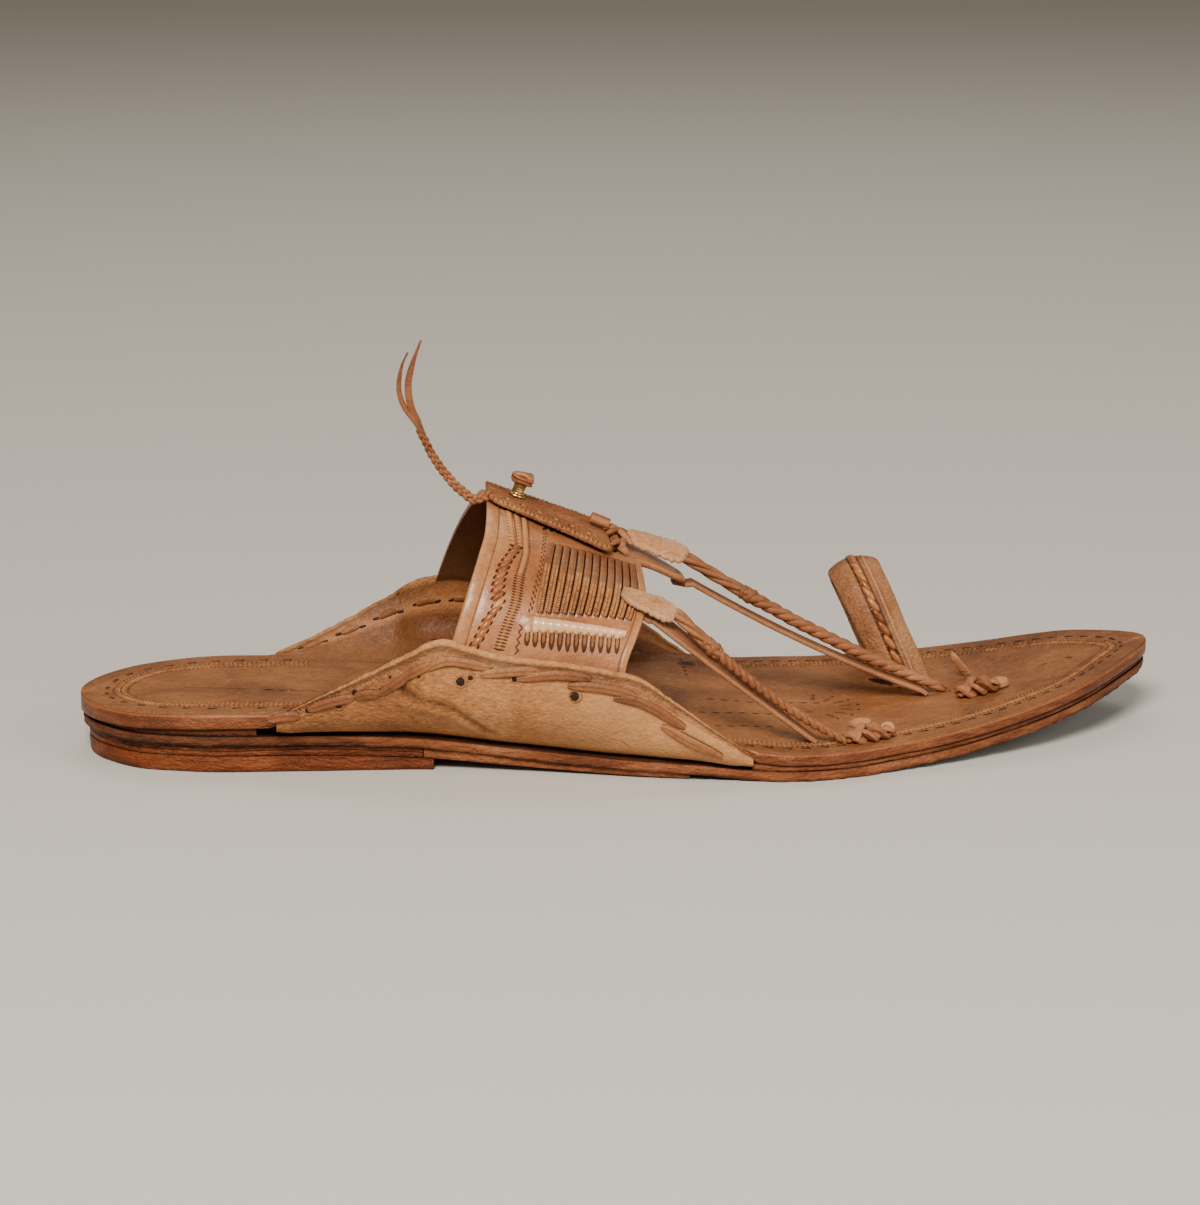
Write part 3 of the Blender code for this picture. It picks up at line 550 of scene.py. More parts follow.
def leather(name, base, dark, pale, roughness, grain, wrinkle, streak=1.0, coat=0.0, sheen=0.0, polish=0.0,
            shine=0.3, fibre=0.0, coat_blur=0.22):
    """Procedural leather of three sRGB colours: mottled, with fine pores, soft wrinkles and combed fibres.

    The tone of each point darkens it below zero, for dark marks and for painted shade in slits, grooves,
    holes and under parts, and bares the pale leather above, for wear and for painted highlights.
    """
    base, dark, pale = srgb(*base), srgb(*dark), srgb(*pale)
    finish = bpy.data.materials.new(name)
    finish.use_nodes = True
    tree = finish.node_tree
    shader = tree.nodes["Principled BSDF"]
    link = tree.links.new

    def add(kind, inputs=(), **settings):
        made = tree.nodes.new(kind)
        for key, value in settings.items():
            setattr(made, key, value)
        for key, value in inputs:
            if hasattr(value, "is_linked"):
                link(value, made.inputs[key])
            else:
                made.inputs[key].default_value = value
        return made

    def blend(share, first, second):
        made = add("ShaderNodeMix", ((0, share), (6, first), (7, second)), data_type="RGBA")
        return made.outputs[2]

    place = add("ShaderNodeTexCoord").outputs["Object"]
    stretched = add("ShaderNodeMapping", (("Vector", place), ("Scale", (1.0, 1.0, streak)))).outputs[0]
    mottle = add("ShaderNodeTexNoise", (("Vector", stretched), ("Scale", MOTTLE_SCALE), ("Detail", 8.0),
                                        ("Roughness", 0.66), ("Distortion", 0.5)))
    shades = add("ShaderNodeValToRGB", (("Fac", mottle.outputs[0]),))
    stops = shades.color_ramp.elements
    stops[0].position, stops[0].color = 0.30, (*mix_colour(base, dark, 0.75), 1.0)
    stops[1].position, stops[1].color = 0.74, (*mix_colour(base, pale, 0.6), 1.0)
    middle = stops.new(0.5)
    middle.color = (*base, 1.0)
    speck = add("ShaderNodeTexNoise", (("Vector", stretched), ("Scale", SPECK_SCALE), ("Detail", 4.0),
                                       ("Roughness", 0.7)))
    specked = add("ShaderNodeMapRange", ((0, speck.outputs[0]), (1, 0.42), (2, 0.72), (3, 0.0), (4, 0.45)))
    colour = blend(specked.outputs[0], shades.outputs[0], (*dark, 1.0))
    if fibre:
        combed = add("ShaderNodeMapping", (("Vector", place), ("Rotation", (0.0, 0.75, 0.3)),
                                           ("Scale", (0.26, 1.0, 1.0)))).outputs[0]
        hairs = add("ShaderNodeTexNoise", (("Vector", combed), ("Scale", HAIR_SCALE), ("Detail", 3.0),
                                           ("Roughness", 0.6)))
        for limit, shade in ((0.72, pale), (0.3, dark)):
            shown_hairs = add("ShaderNodeMapRange", ((0, hairs.outputs[0]), (1, 0.5), (2, limit), (3, 0.0),
                                                     (4, fibre)))
            colour = blend(shown_hairs.outputs[0], colour, (*shade, 1.0))
    tone = add("ShaderNodeAttribute", attribute_name="tone").outputs["Fac"]
    # Tone below zero blends towards a near-black brown: dark marks, and painted shade in recesses and under
    # parts.
    shade_and_marks = add("ShaderNodeMath", ((0, tone), (1, -1.0)), operation="MULTIPLY", use_clamp=True)
    # Tone above zero bares the pale leather: wear, and painted highlights on the band's ridge and lacing.
    wear_and_highlight = add("ShaderNodeMath", ((0, tone), (1, 1.0)), operation="MULTIPLY", use_clamp=True)
    colour = blend(shade_and_marks.outputs[0], colour, (*(part * SUNK_SHADE for part in dark), 1.0))
    colour = blend(wear_and_highlight.outputs[0], colour, (*pale, 1.0))
    link(colour, shader.inputs["Base Color"])
    gloss = add("ShaderNodeMapRange", ((0, speck.outputs[0]), (1, 0.3), (2, 0.75), (3, roughness - 0.1),
                                       (4, roughness + 0.14)))
    rubbed = add("ShaderNodeMath", ((0, wear_and_highlight.outputs[0]), (1, -polish)), operation="MULTIPLY")
    glossy = add("ShaderNodeMath", ((0, gloss.outputs[0]), (1, rubbed.outputs[0])), operation="ADD")
    link(glossy.outputs[0], shader.inputs["Roughness"])
    pores = add("ShaderNodeTexVoronoi", (("Vector", place), ("Scale", PORE_SCALE)))
    folds = add("ShaderNodeTexNoise", (("Vector", stretched), ("Scale", FOLD_SCALE), ("Detail", 5.0),
                                       ("Distortion", 1.2)))
    folded = add("ShaderNodeMath", ((0, folds.outputs[0]), (1, wrinkle * 4)), operation="MULTIPLY")
    height = add("ShaderNodeMath", ((0, pores.outputs["Distance"]), (1, folded.outputs[0])), operation="ADD")
    bump = add("ShaderNodeBump", (("Strength", grain), ("Distance", BUMP_DEPTH),
                                  ("Height", height.outputs[0])))
    link(bump.outputs[0], shader.inputs["Normal"])
    for socket, value in (("Specular IOR Level", shine), ("Coat Weight", coat), ("Coat Roughness", coat_blur),
                          ("Sheen Weight", sheen), ("Sheen Roughness", 0.5)):
        shader.inputs[socket].default_value = value
    return finish


def mix_colour(first, second, share):
    """Colour between two others."""
    return tuple(mix(a, b, share) for a, b in zip(first, second))


def brass(name):
    """Worn brass with fine turning marks."""
    finish = bpy.data.materials.new(name)
    finish.use_nodes = True
    tree = finish.node_tree
    shader = tree.nodes["Principled BSDF"]
    place = tree.nodes.new("ShaderNodeTexCoord")
    marks = tree.nodes.new("ShaderNodeTexNoise")
    marks.inputs["Scale"].default_value = 900.0
    marks.inputs["Detail"].default_value = 4.0
    tree.links.new(place.outputs["Object"], marks.inputs["Vector"])
    shades = tree.nodes.new("ShaderNodeValToRGB")
    shades.color_ramp.elements[0].color = (0.42, 0.22, 0.06, 1.0)
    shades.color_ramp.elements[1].color = (0.90, 0.62, 0.26, 1.0)
    tree.links.new(marks.outputs[0], shades.inputs[0])
    tree.links.new(shades.outputs[0], shader.inputs["Base Color"])
    bump = tree.nodes.new("ShaderNodeBump")
    bump.inputs["Strength"].default_value = 0.15
    bump.inputs["Distance"].default_value = 0.0001
    tree.links.new(marks.outputs[0], bump.inputs["Height"])
    tree.links.new(bump.outputs[0], shader.inputs["Normal"])
    shader.inputs["Metallic"].default_value = 1.0
    shader.inputs["Roughness"].default_value = 0.28
    return finish


# Colour, darker and paler colour, roughness, grain and wrinkles of each leather
COVER_HIDE = leather("cover_leather", (166, 108, 60), (98, 54, 26), (204, 150, 98), 0.5, 0.8, 0.8,
                     shine=0.25, fibre=0.45)
BAND_HIDE = leather("band_leather", (164, 104, 62), (98, 50, 28), (214, 158, 106), 0.34, 0.25, 0.15,
                    coat=0.2, polish=0.16)
# The ridge's leather: a real glossy coat, and colours paler than the band's that paint its highlight.
RIDGE_HIGHLIGHT_HIDE = leather("burnished_highlight_leather", (208, 148, 98), (140, 84, 48), (240, 200, 156), 0.3, 0.2, 0.1,
                     coat=1.0, polish=0.1, coat_blur=0.1)
TOOLED_HIDE = leather("tooled_leather", (160, 100, 60), (92, 48, 26), (214, 158, 106), 0.55, 0.3, 0.2,
                      shine=0.12)
FOOT_HIDE = leather("footbed_leather", (146, 92, 52), (88, 48, 26), (186, 128, 80), 0.5, 0.7, 0.7,
                    shine=0.25)
EDGE_HIDE = leather("sole_leather", (138, 78, 42), (76, 37, 19), (194, 132, 92), 0.6, 1.0, 1.0,
                    streak=3.5, shine=0.2)
RIM_HIDE = leather("rim_leather", (124, 64, 29), (54, 23, 10), (184, 116, 66), 0.42, 1.0, 1.0,
                   streak=4.0, coat=0.1, shine=0.25)
STACK_HIDE = leather("heel_leather", (112, 52, 19), (56, 22, 8), (172, 98, 48), 0.45, 1.0, 1.0,
                     streak=4.0, shine=0.2)
CORD_HIDE = leather("cord_leather", (144, 88, 54), (84, 44, 24), (198, 142, 98), 0.48, 0.5, 0.6,
                    shine=0.25)
STRAP_HIDE = leather("strap_leather", (138, 86, 54), (84, 46, 26), (188, 134, 94), 0.55, 0.6, 0.6,
                     shine=0.2)
LACE_HIDE = leather("lace_leather", (148, 92, 54), (84, 46, 24), (192, 138, 90), 0.45, 0.5, 0.5,
                    shine=0.25)
SADDLE_HIDE = leather("saddle_leather", (142, 86, 52), (92, 48, 26), (196, 142, 94), 0.8, 1.0, 1.0,
                      shine=0.1, fibre=0.5)
SUEDE_HIDE = leather("pad_suede", (184, 130, 90), (120, 74, 46), (218, 170, 128), 0.92, 1.0, 1.0,
                     sheen=0.2, shine=0.1, fibre=0.45)
LOOP_HIDE = leather("loop_leather", (150, 98, 62), (92, 52, 30), (196, 146, 104), 0.6, 0.8, 0.7,
                    shine=0.2, fibre=0.35)
WEAVE_HIDE = leather("woven_leather", (152, 84, 38), (92, 44, 18), (206, 140, 82), 0.3, 0.3, 0.3,
                     coat=0.35)
BRASS_METAL = brass("stud_brass")


# Mesh building

SPLINE_STEPS = 24


def shown(name, verts, faces, finish, nodes, tone, edge=None):
    """Put a finished mesh into the scene as a piece that rides on the sandal.

    Edge is a second finish, and a flag for each point that is in it.
    """
    name += "_dressed" if nodes else ""
    mesh = bpy.data.meshes.new(name)
    mesh.from_pydata([tuple(point) for point in verts], [], faces)
    tones = mesh.attributes.new("tone", "FLOAT", "POINT")
    tones.data.foreach_set("value", np.asarray(tone, np.float32))
    shape = bmesh.new()
    shape.from_mesh(mesh)
    bmesh.ops.recalc_face_normals(shape, faces=shape.faces)
    shape.to_mesh(mesh)
    shape.free()
    mesh.materials.append(finish)
    if edge:
        mesh.materials.append(edge[0])
        for face in mesh.polygons:
            if all(edge[1][i] for i in face.vertices):
                face.material_index = 1
    mesh.shade_smooth()
    mesh.set_sharp_from_angle(angle=radians(SHARP_ANGLE))
    piece = bpy.data.objects.new(name, mesh)
    bpy.context.scene.collection.objects.link(piece)
    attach(piece, "root")
    if nodes:
        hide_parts(*nodes)


def loft(rings):
    """Skin rings of equal counts of points and close both ends."""
    count = len(rings[0])
    verts = [point for ring in rings for point in ring]
    faces = []
    for i in range(len(rings) - 1):
        for j in range(count):
            k = (j + 1) % count
            faces.append((i * count + j, i * count + k, (i + 1) * count + k, (i + 1) * count + j))
    faces.append(tuple(range(count))[::-1])
    faces.append(tuple(range((len(rings) - 1) * count, len(rings) * count)))
    return verts, faces


def dress(rings, name, finish, tones, edge=None):
    """Skin rings into a piece that takes the place of the solid of the same name."""
    verts, faces = loft(rings)
    shown(name, verts, faces, finish, (name,), tones, edge)
    return verts, faces


def oval(width, height, count, square):
    """Closed section of a rounded cord or thong."""
    points = []
    for i in range(count):
        angle = 2 * pi * i / count
        across, up = cos(angle), sin(angle)
        points.append((width / 2 * copysign(abs(across) ** (2 / square), across),
                       height / 2 * copysign(abs(up) ** (2 / square), up)))
    return points


def way_at(path, i):
    """Way ahead at a point of a path."""
    return (path[min(i + 1, len(path) - 1)] - path[max(i - 1, 0)]).normalized()


def carried_frames(path, up):
    """Way ahead, across and up at each point of a path; up is its first way, or a list of all its ways."""
    frames = []
    for i in range(len(path)):
        ahead = way_at(path, i)
        across = ahead.cross(up[i] if isinstance(up, list) else up).normalized()
        lift = across.cross(ahead)
        if not isinstance(up, list):
            up = lift
        frames.append((ahead, across, lift))
    return frames


def sweep(path, section, up):
    """Carry a section along a path."""
    rings = []
    for i, (ahead, across, lift) in enumerate(carried_frames(path, up)):
        rings.append([path[i] + across * u + lift * v for u, v in section(i / (len(path) - 1))])
    return loft(rings)


def rounded_ends(place, ease, least):
    """Share of full size along a cord that narrows at both ends."""
    near = min(1.0, place / ease, (1 - place) / ease)
    return mix(least, 1.0, sqrt(max(near, 0.0)))


def tapered(width, height, count, square, ease, least, aside=0.0, lift=0.0):
    """Section of a flat lace, in mm, whose width narrows at both ends."""
    def section(place):
        narrowed = rounded_ends(place, ease, least)
        return [(u * narrowed + aside * MM, v + lift * MM)
                for u, v in oval(width * MM, height * MM, count, square)]

    return section


def spline(points, count):
    """Points evenly spread on a smooth curve through a few others."""
    fine = []
    for i in range(len(points) - 1):
        a, b = points[i], points[i + 1]
        before = points[i - 1] if i else a
        after = points[i + 2] if i + 2 < len(points) else b
        for k in range(SPLINE_STEPS):
            t = k / SPLINE_STEPS
            fine.append(0.5 * (2 * a + (b - before) * t + (2 * before - 5 * a + 4 * b - after) * t * t
                               + (3 * a - before - 3 * b + after) * t ** 3))
    fine.append(points[-1])
    return spread(fine, count)


def spread(points, count):
    """The same line with its points evenly spaced."""
    lengths = [0.0]
    for a, b in zip(points, points[1:]):
        lengths.append(lengths[-1] + (b - a).length)
    even = []
    row = 0
    for i in range(count):
        goal = lengths[-1] * i / (count - 1)
        while row < len(points) - 2 and lengths[row + 1] < goal:
            row += 1
        part = (goal - lengths[row]) / max(lengths[row + 1] - lengths[row], 1e-9)
        even.append(points[row].lerp(points[row + 1], min(max(part, 0.0), 1.0)))
    return even


def length_of(path):
    """Length of a line of points."""
    return sum((b - a).length for a, b in zip(path, path[1:]))


class Pile:
    """Many small closed shapes that become one piece."""

    def __init__(self):
        self.verts = []
        self.faces = []
        self.tone = []

    def add(self, shape, tone):
        """Add one shape."""
        verts, faces = shape
        start = len(self.verts)
        self.verts.extend(verts)
        self.faces.extend([tuple(i + start for i in face) for face in faces])
        self.tone.extend([tone] * len(verts))

    def bead(self, centre, ahead, normal, length, width, height, tone, sink=0.35, count=8):
        """Add a low rounded stitch, bead or mark that lies on a surface; its three sizes are in mm."""
        length, width, height = length * MM, width * MM, height * MM
        across = normal.cross(ahead).normalized()
        rings = []
        for level, size in ((-sink, 1.0), (0.45, 0.86), (0.85, 0.5)):
            ring = []
            for u, v in oval(length * size, width * size, count, 2.0):
                ring.append(centre + ahead * u + across * v + normal * height * level)
            rings.append(ring)
        verts, faces = loft(rings)
        top = len(verts)
        verts.append(centre + normal * height)
        faces.pop()
        faces.extend((top - count + i, top - count + (i + 1) % count, top) for i in range(count))
        self.add((verts, faces), tone)

    def tube(self, path, width, height, tone, ends=0.1, least=0.6, square=2.2):
        """Add a thong along a path; its width and height are in mm."""
        def section(place):
            size = rounded_ends(place, ends, least)
            return [(u * size, v * size) for u, v in oval(width * MM, height * MM, 10, square)]

        self.add(sweep(path, section, UP), tone)

    def ring(self, centre, normal, radius, thickness, tone, count=14, sides=6):
        """Add a round lip."""
        first = normal.orthogonal().normalized()
        second = normal.cross(first)
        verts = []
        faces = []
        for i in range(count):
            angle = 2 * pi * i / count
            out = first * cos(angle) + second * sin(angle)
            for k in range(sides):
                turned = 2 * pi * k / sides
                verts.append(centre + out * (radius + thickness * cos(turned))
                             + normal * thickness * sin(turned))
        for i in range(count):
            for k in range(sides):
                a, b = i * sides, (i + 1) % count * sides
                m = (k + 1) % sides
                faces.append((a + k, b + k, b + m, a + m))
        self.add((verts, faces), tone)

    def plait(self, path, up, size, pitch, tone, strands=3, twisted=False, fill=0.46, out=0.52):
        """Add the strands of a plaited or twisted cord; size gives its radius along the path."""
        total = length_of(path)
        frames = carried_frames(path, up)
        last = len(path) - 1
        for strand in range(strands):
            line = []
            for i, (ahead, across, lift) in enumerate(frames):
                radius = size(i / last)
                phase = 2 * pi * (total * i / last / pitch + strand / strands)
                if twisted:
                    u, v = out * radius * cos(phase), out * radius * sin(phase)
                else:
                    u, v = 0.58 * radius * sin(phase), 0.34 * radius * sin(2 * phase)
                line.append(path[i] + across * u + lift * v)

            def section(place):
                thick = 2 * fill * size(place) * rounded_ends(place, 0.03, 0.5)
                return oval(thick * 1.12, thick, 8, 2.2)

            self.add(sweep(line, section, up), tone)

    def build(self, name, finish, slot_name):
        """Turn the pile into a piece of its own."""
        shown(name, self.verts, self.faces, finish, (), self.tone)

    def dress(self, name, finish):
        """Turn the pile into a piece that takes the place of the solid of the same name."""
        shown(name, self.verts, self.faces, finish, (name,), self.tone)


# Sole layers

FINE_TIP = END_CUT / 4
OUTSOLE_EDGE = 0.6 * MM
TOE_RAND_EDGE = 0.8 * MM
TOE_RAND_BACK = 0.011
LAYER_SWELL = 0.12 * MM
CUT_WAVE = 0.2 * MM
CUT_STEP = 0.009
TORN_WAVE = 0.55 * MM
TORN_STEP = 0.0022

# Side of each leather from its lower to its upper face: level, step inwards in mm, tone; the dark tones at
# its edges and in a split are painted shade where the leathers meet.
PLAIN_WALL = (
    (0, 0.22, -0.7),
    (0.08, 0.05, -0.2),
    (0.35, 0, 0),
    (0.6, 0.04, 0),
    (0.92, 0, -0.1),
    (1, 0.2, -0.7),
)
SPLIT_WALL = (
    (0, 0.25, -0.8),
    (0.07, 0.05, -0.15),
    (0.3, 0, 0),
    (0.47, 0.02, -0.1),
    (0.51, 0.5, -1.0),
    (0.55, 0.02, -0.1),
    (0.93, 0.03, -0.1),
    (1, 0.22, -0.7),
)
LIFT_WALL = (
    (0, 0.35, -0.8),
    (0.06, 0.08, -0.3),
    (0.3, 0, 0),
    (0.5, 0.08, 0.05),
    (0.7, 0, 0),
    (0.95, 0.04, -0.1),
    (1, 0.25, -0.8),
)
OUTSOLE_WALL = (
    (0, 0.4, -0.8),
    (0.12, 0.1, -0.4),
    (0.4, 0, -0.05),
    (0.7, 0, 0),
    (0.93, 0.03, -0.1),
    (1, 0.25, -0.8),
)
HEEL_RAND_WALL = ((0, 0.2, -0.4), (0.5, 0, -0.2), (1, 0.2, -0.4))
TOE_RAND_WALL = ((0, 0.3, -0.6), (0.3, 0, -0.3), (0.7, 0, -0.25), (1, 0.3, -0.7))


def wobble(point, size, step):
    """Small hand-cut unevenness."""
    return size * noise(point * (1 / step))


def layer(name, finish, start, end, inset, under, top, profile, count, ragged=0.0, end_darkening=0.0):
    """One leather of the sole, with the profile of its side.

    Ragged tears its lower edge. End darkening makes its heel darker and its toe darker by half as much; the
    toe's darkening is painted shade.
    """
    rings, tones = [], []
    for share in stations(start, end, count):
        x0 = along(share, inset)
        walls = []
        for side in (LATERAL, MEDIAL):
            wall = []
            for level, step, tone in profile:
                edge = inset + step * MM + wobble(Vector((x0, side * 0.05, level * 0.02)), CUT_WAVE, CUT_STEP)
                torn = wobble(Vector((x0, side * 0.05, level * 0.01)), TORN_WAVE, TORN_STEP)
                edge += ragged * (1 - level) * torn
                x = along(share, edge)
                place = x / SOLE_LENGTH + 0.5
                low, high = under(place) - LAYER_SWELL, top(place) + LAYER_SWELL
                drift = 0.5 * level * (1 - level) * noise(Vector((x0 * 45, side * 3, 0.5)))
                # Darker towards the heel, and towards the toe as painted shade.
                darkened_ends = end_darkening * (1 - ramp(place, 0.1, 0.2) + 0.5 * ramp(place, 0.72, 0.16))
                shade = max(-1.0, tone - darkened_ends + 0.25 * noise(Vector((x0 * 140, side * 3, level * 2))))
                spot = Vector((x, side * reach(share, side, edge), mix(low, high, level + drift)))
                wall.append((spot, shade))
            walls.append(wall)
        ring = walls[0] + walls[1][::-1]
        rings.append([spot for spot, shade in ring])
        tones.extend(shade for spot, shade in ring)
    dress(rings, name, finish, tones)


def lift_top(share):
    """Height of the heel lifts' and the waist strip's upper face."""
    return outsole_under(share) - GAP


def rand_under(share):
    """Height of the rands' lower face."""
    return outsole_top(share) + GAP


def rand_top(share):
    """Height of the rands' upper face."""
    return insole_under(share) - GAP


layer("heel_lift_lower", STACK_HIDE, FINE_TIP, BREAST, HEEL_INSET, lambda share: 0.0,
      lambda share: outsole_under(share) - 2 * GAP - UPPER_LIFT, LIFT_WALL, 90)
layer("heel_lift_upper", STACK_HIDE, FINE_TIP, LIFT_JOINT, HEEL_INSET,
      lambda share: lift_top(share) - UPPER_LIFT, lift_top, SPLIT_WALL, 90)
layer("waist_strip", EDGE_HIDE, LIFT_JOINT + GAP / SOLE_LENGTH, STRIP_END, HEEL_INSET,
      lambda share: lift_top(share) - strip_thickness(share), lift_top, PLAIN_WALL, 70)
layer("outsole", EDGE_HIDE, FINE_TIP, 1 - FINE_TIP, OUTSOLE_EDGE, outsole_under, outsole_top,
      OUTSOLE_WALL, 420, ragged=1.0, end_darkening=0.5)
layer("heel_rand", EDGE_HIDE, FINE_TIP, HEEL_RAND_END, RAND_INSET, rand_under, rand_top,
      HEEL_RAND_WALL, 60, end_darkening=0.25)
layer("toe_rand", EDGE_HIDE, TOE_RAND_START - TOE_RAND_BACK, 1 - FINE_TIP, TOE_RAND_EDGE, rand_under,
      rand_top, TOE_RAND_WALL, 110, end_darkening=0.4)


# Insole with its two wings

# How far each point of the insole's section lies from its rim, in mm
RIM_STEPS = (9, 7.4, 6, 4.6, 3.4, 2.7, 2.25, 1.95, 1.65, 1.3, 0.9, 0.5, 0.2, 0)
RIM_TURNS = tuple(1 - sqrt(step / 9) for step in RIM_STEPS)
RIM_ROUNDING = {0.5: 0.96, 0.2: 0.82, 0: 0.5}
GROOVE_STEP = 1.95
GROOVE_DEPTH = 0.38 * MM
# The rim's corner, painted pale for wear and for its highlight.
WORN_HIGHLIGHT_STEP = 0.2
SHADED_STEPS = 7.5
FOOT_PRESS = 0.5 * MM
FLOOR_POINTS = 20
INSOLE_ROWS = 260


def wing_line(share, side, turns=RIM_TURNS):
    """Middle of the insole's leather on one side, out over the footbed and up the wing."""
    rise = ear_share(share, side)
    low = insole_under(share) + insole_thickness(share) / 2
    high = low + EAR_RISE * rise
    edge = reach(share, side)
    top = mix(edge, band_side(share, high), rise)
    fold = min(FOLD, FOLD_LIMIT * (reach(share, LATERAL) + reach(share, MEDIAL)))
    offset = -(BAND_WALL / 2 + EAR_GAP + WING / 2)
    points = []
    for t in turns:
        y = (edge - fold) * (1 - t) ** 2 + edge * 2 * t * (1 - t) + top * t * t
        z = mix(low, high, t * t)
        points.append((lift_to_band(share, y, z, low, high, offset), z))
    return points


def rim_tone(step, flat, resting):
    """Tone of the insole near its rim: painted shade in the groove and near the rim, and a pale corner rubbed
    by wear that also paints its highlight.
    """
    if step == GROOVE_STEP:
        return min(-0.75 * flat, resting)
    if step == WORN_HIGHLIGHT_STEP:
        return 0.5
    return resting if step < SHADED_STEPS else 0.0


def wing_faces(share, side):
    """Under and upper points of the insole on one side, with a groove along its rim and a rounded edge."""
    rise = ear_share(share, side)
    line = wing_line(share, side)
    body = insole_thickness(share)
    tip = mix(body, WING, min(1.0, rise / WING_THINNED))
    flat = max(0.0, 1 - 3 * rise)
    # Painted shade near the rim, darker up the wings where the band shades them.
    resting = -0.12 - 0.26 * min(1.0, 2 * rise)
    x = along(share)
    under, upper, tones = [], [], []
    for (y, z), (ny, nz), step, t in zip(line, line_normals(line), RIM_STEPS, RIM_TURNS):
        half = mix(body, tip, t) / 2 * RIM_ROUNDING.get(step, 1.0)
        groove = GROOVE_DEPTH * flat if step == GROOVE_STEP else 0.0
        top = half - groove + wobble(Vector((x, side * t * 0.02, 0.3)), 0.12 * MM, 0.012)
        under.append(Vector((x, side * (y - ny * half), z - nz * half)))
        upper.append(Vector((x, side * (y + ny * top), z + nz * top)))
        tones.append(rim_tone(step, flat, resting))
    return under, upper, tones


def footbed_dish(share, q):
    """How far the foot has pressed the footbed down."""
    return (FOOT_PRESS * (1 - (2 * q - 1) ** 2)
            + wobble(Vector((share * SOLE_LENGTH, q * 0.06, 0.7)), 0.14 * MM, 0.011))


def rim_flags(share, side):
    """Which points of the upper face belong to the cut edge."""
    limit = 0.5 if ear_share(share, side) < 0.03 else 0.0
    return [step <= limit for step in RIM_STEPS]


rings, tones, flags = [], [], []
for share in stations(FINE_TIP, 1 - FINE_TIP, INSOLE_ROWS):
    lateral_under, lateral_upper, lateral_tones = wing_faces(share, LATERAL)
    medial_under, medial_upper, medial_tones = wing_faces(share, MEDIAL)
    floor_line = []
    for i in range(1, FLOOR_POINTS):
        q = i / FLOOR_POINTS
        y = mix(lateral_upper[0].y, medial_upper[0].y, q)
        floor_line.append(Vector((along(share), y, footbed(share) - footbed_dish(share, q))))
    rings.append(lateral_under + lateral_upper[::-1] + floor_line + medial_upper + medial_under[::-1])
    below = len(lateral_under)
    tones.extend([0.0] * below + lateral_tones[::-1] + [0.0] * len(floor_line) + medial_tones + [0.0] * below)
    flags.extend([True] * below + rim_flags(share, LATERAL)[::-1] + [False] * len(floor_line)
                 + rim_flags(share, MEDIAL) + [True] * below)
verts, faces = dress(rings, "insole", FOOT_HIDE, tones, (RIM_HIDE, flags))
insole_tree = BVHTree.FromPolygons([tuple(v) for v in verts], faces)


def on_insole(x, y):
    """Point and normal on the insole straight under a place on its plan."""
    spot, normal, _index, _distance = insole_tree.ray_cast(Vector((x, y, 0.09)), -UP)
    if spot is None:
        spot, normal = Vector((x, y, footbed(x / SOLE_LENGTH + 0.5))), UP
    return spot, -normal if normal.z < 0 else normal


def offset_inwards(line, inset):
    """A line in plan drawn in from the sole's edge, without the folds that a tight bend would make."""
    drawn = []
    for i, point in enumerate(line):
        ahead = way_at(line, i)
        drawn.append((point, Vector((-ahead.y, ahead.x, 0))))
    middle = sum((point for point, way in drawn), Vector((0, 0, 0))) / len(drawn)
    turn_in = 1 if sum(way.dot(middle - point) for point, way in drawn) > 0 else -1
    kept = []
    for point, way in drawn:
        spot = point + way * inset * turn_in
        if min((spot - other).length for other, w in drawn[::3]) > inset * 0.985:
            kept.append(spot)
    return kept


def side_line(start, end, side):
    """Edge of the sole on one side."""
    return [Vector((along(share), side * reach(share, side), 0)) for share in stations(start, end, 200)]


def toe_rim(inset, start):
    """Line inside the forefoot's edge, from one side round the toe to the other."""
    tip = 1 - FINE_TIP
    return offset_inwards(side_line(start, tip, LATERAL) + side_line(start, tip, MEDIAL)[::-1], inset)


def heel_rim(inset, end):
    """Line inside the heel's edge, from one side round the heel to the other."""
    return offset_inwards(side_line(FINE_TIP, end, LATERAL)[::-1] + side_line(FINE_TIP, end, MEDIAL), inset)


def along_rim(line, spacing):
    """Places and ways ahead, evenly spaced on a line in plan."""
    count = max(2, int(length_of(line) / spacing) + 1)
    even = spread(line, count)
    for i in range(count - 1):
        yield (even[i] + even[i + 1]) / 2, (even[i + 1] - even[i]).normalized()


def on_surface(ahead, normal):
    """A way ahead made to lie in a surface."""
    return (ahead - normal * ahead.dot(normal)).normalized()


def rim_places(line, spacing):
    """Spots on the insole along a line in plan, each with its way ahead and its normal."""
    for place, ahead in along_rim(line, spacing):
        spot, normal = on_insole(place.x, place.y)
        yield spot, on_surface(ahead, normal), normal


STITCH_INSET = 6.4 * MM
ROPE_SPACING = 1.25 * MM

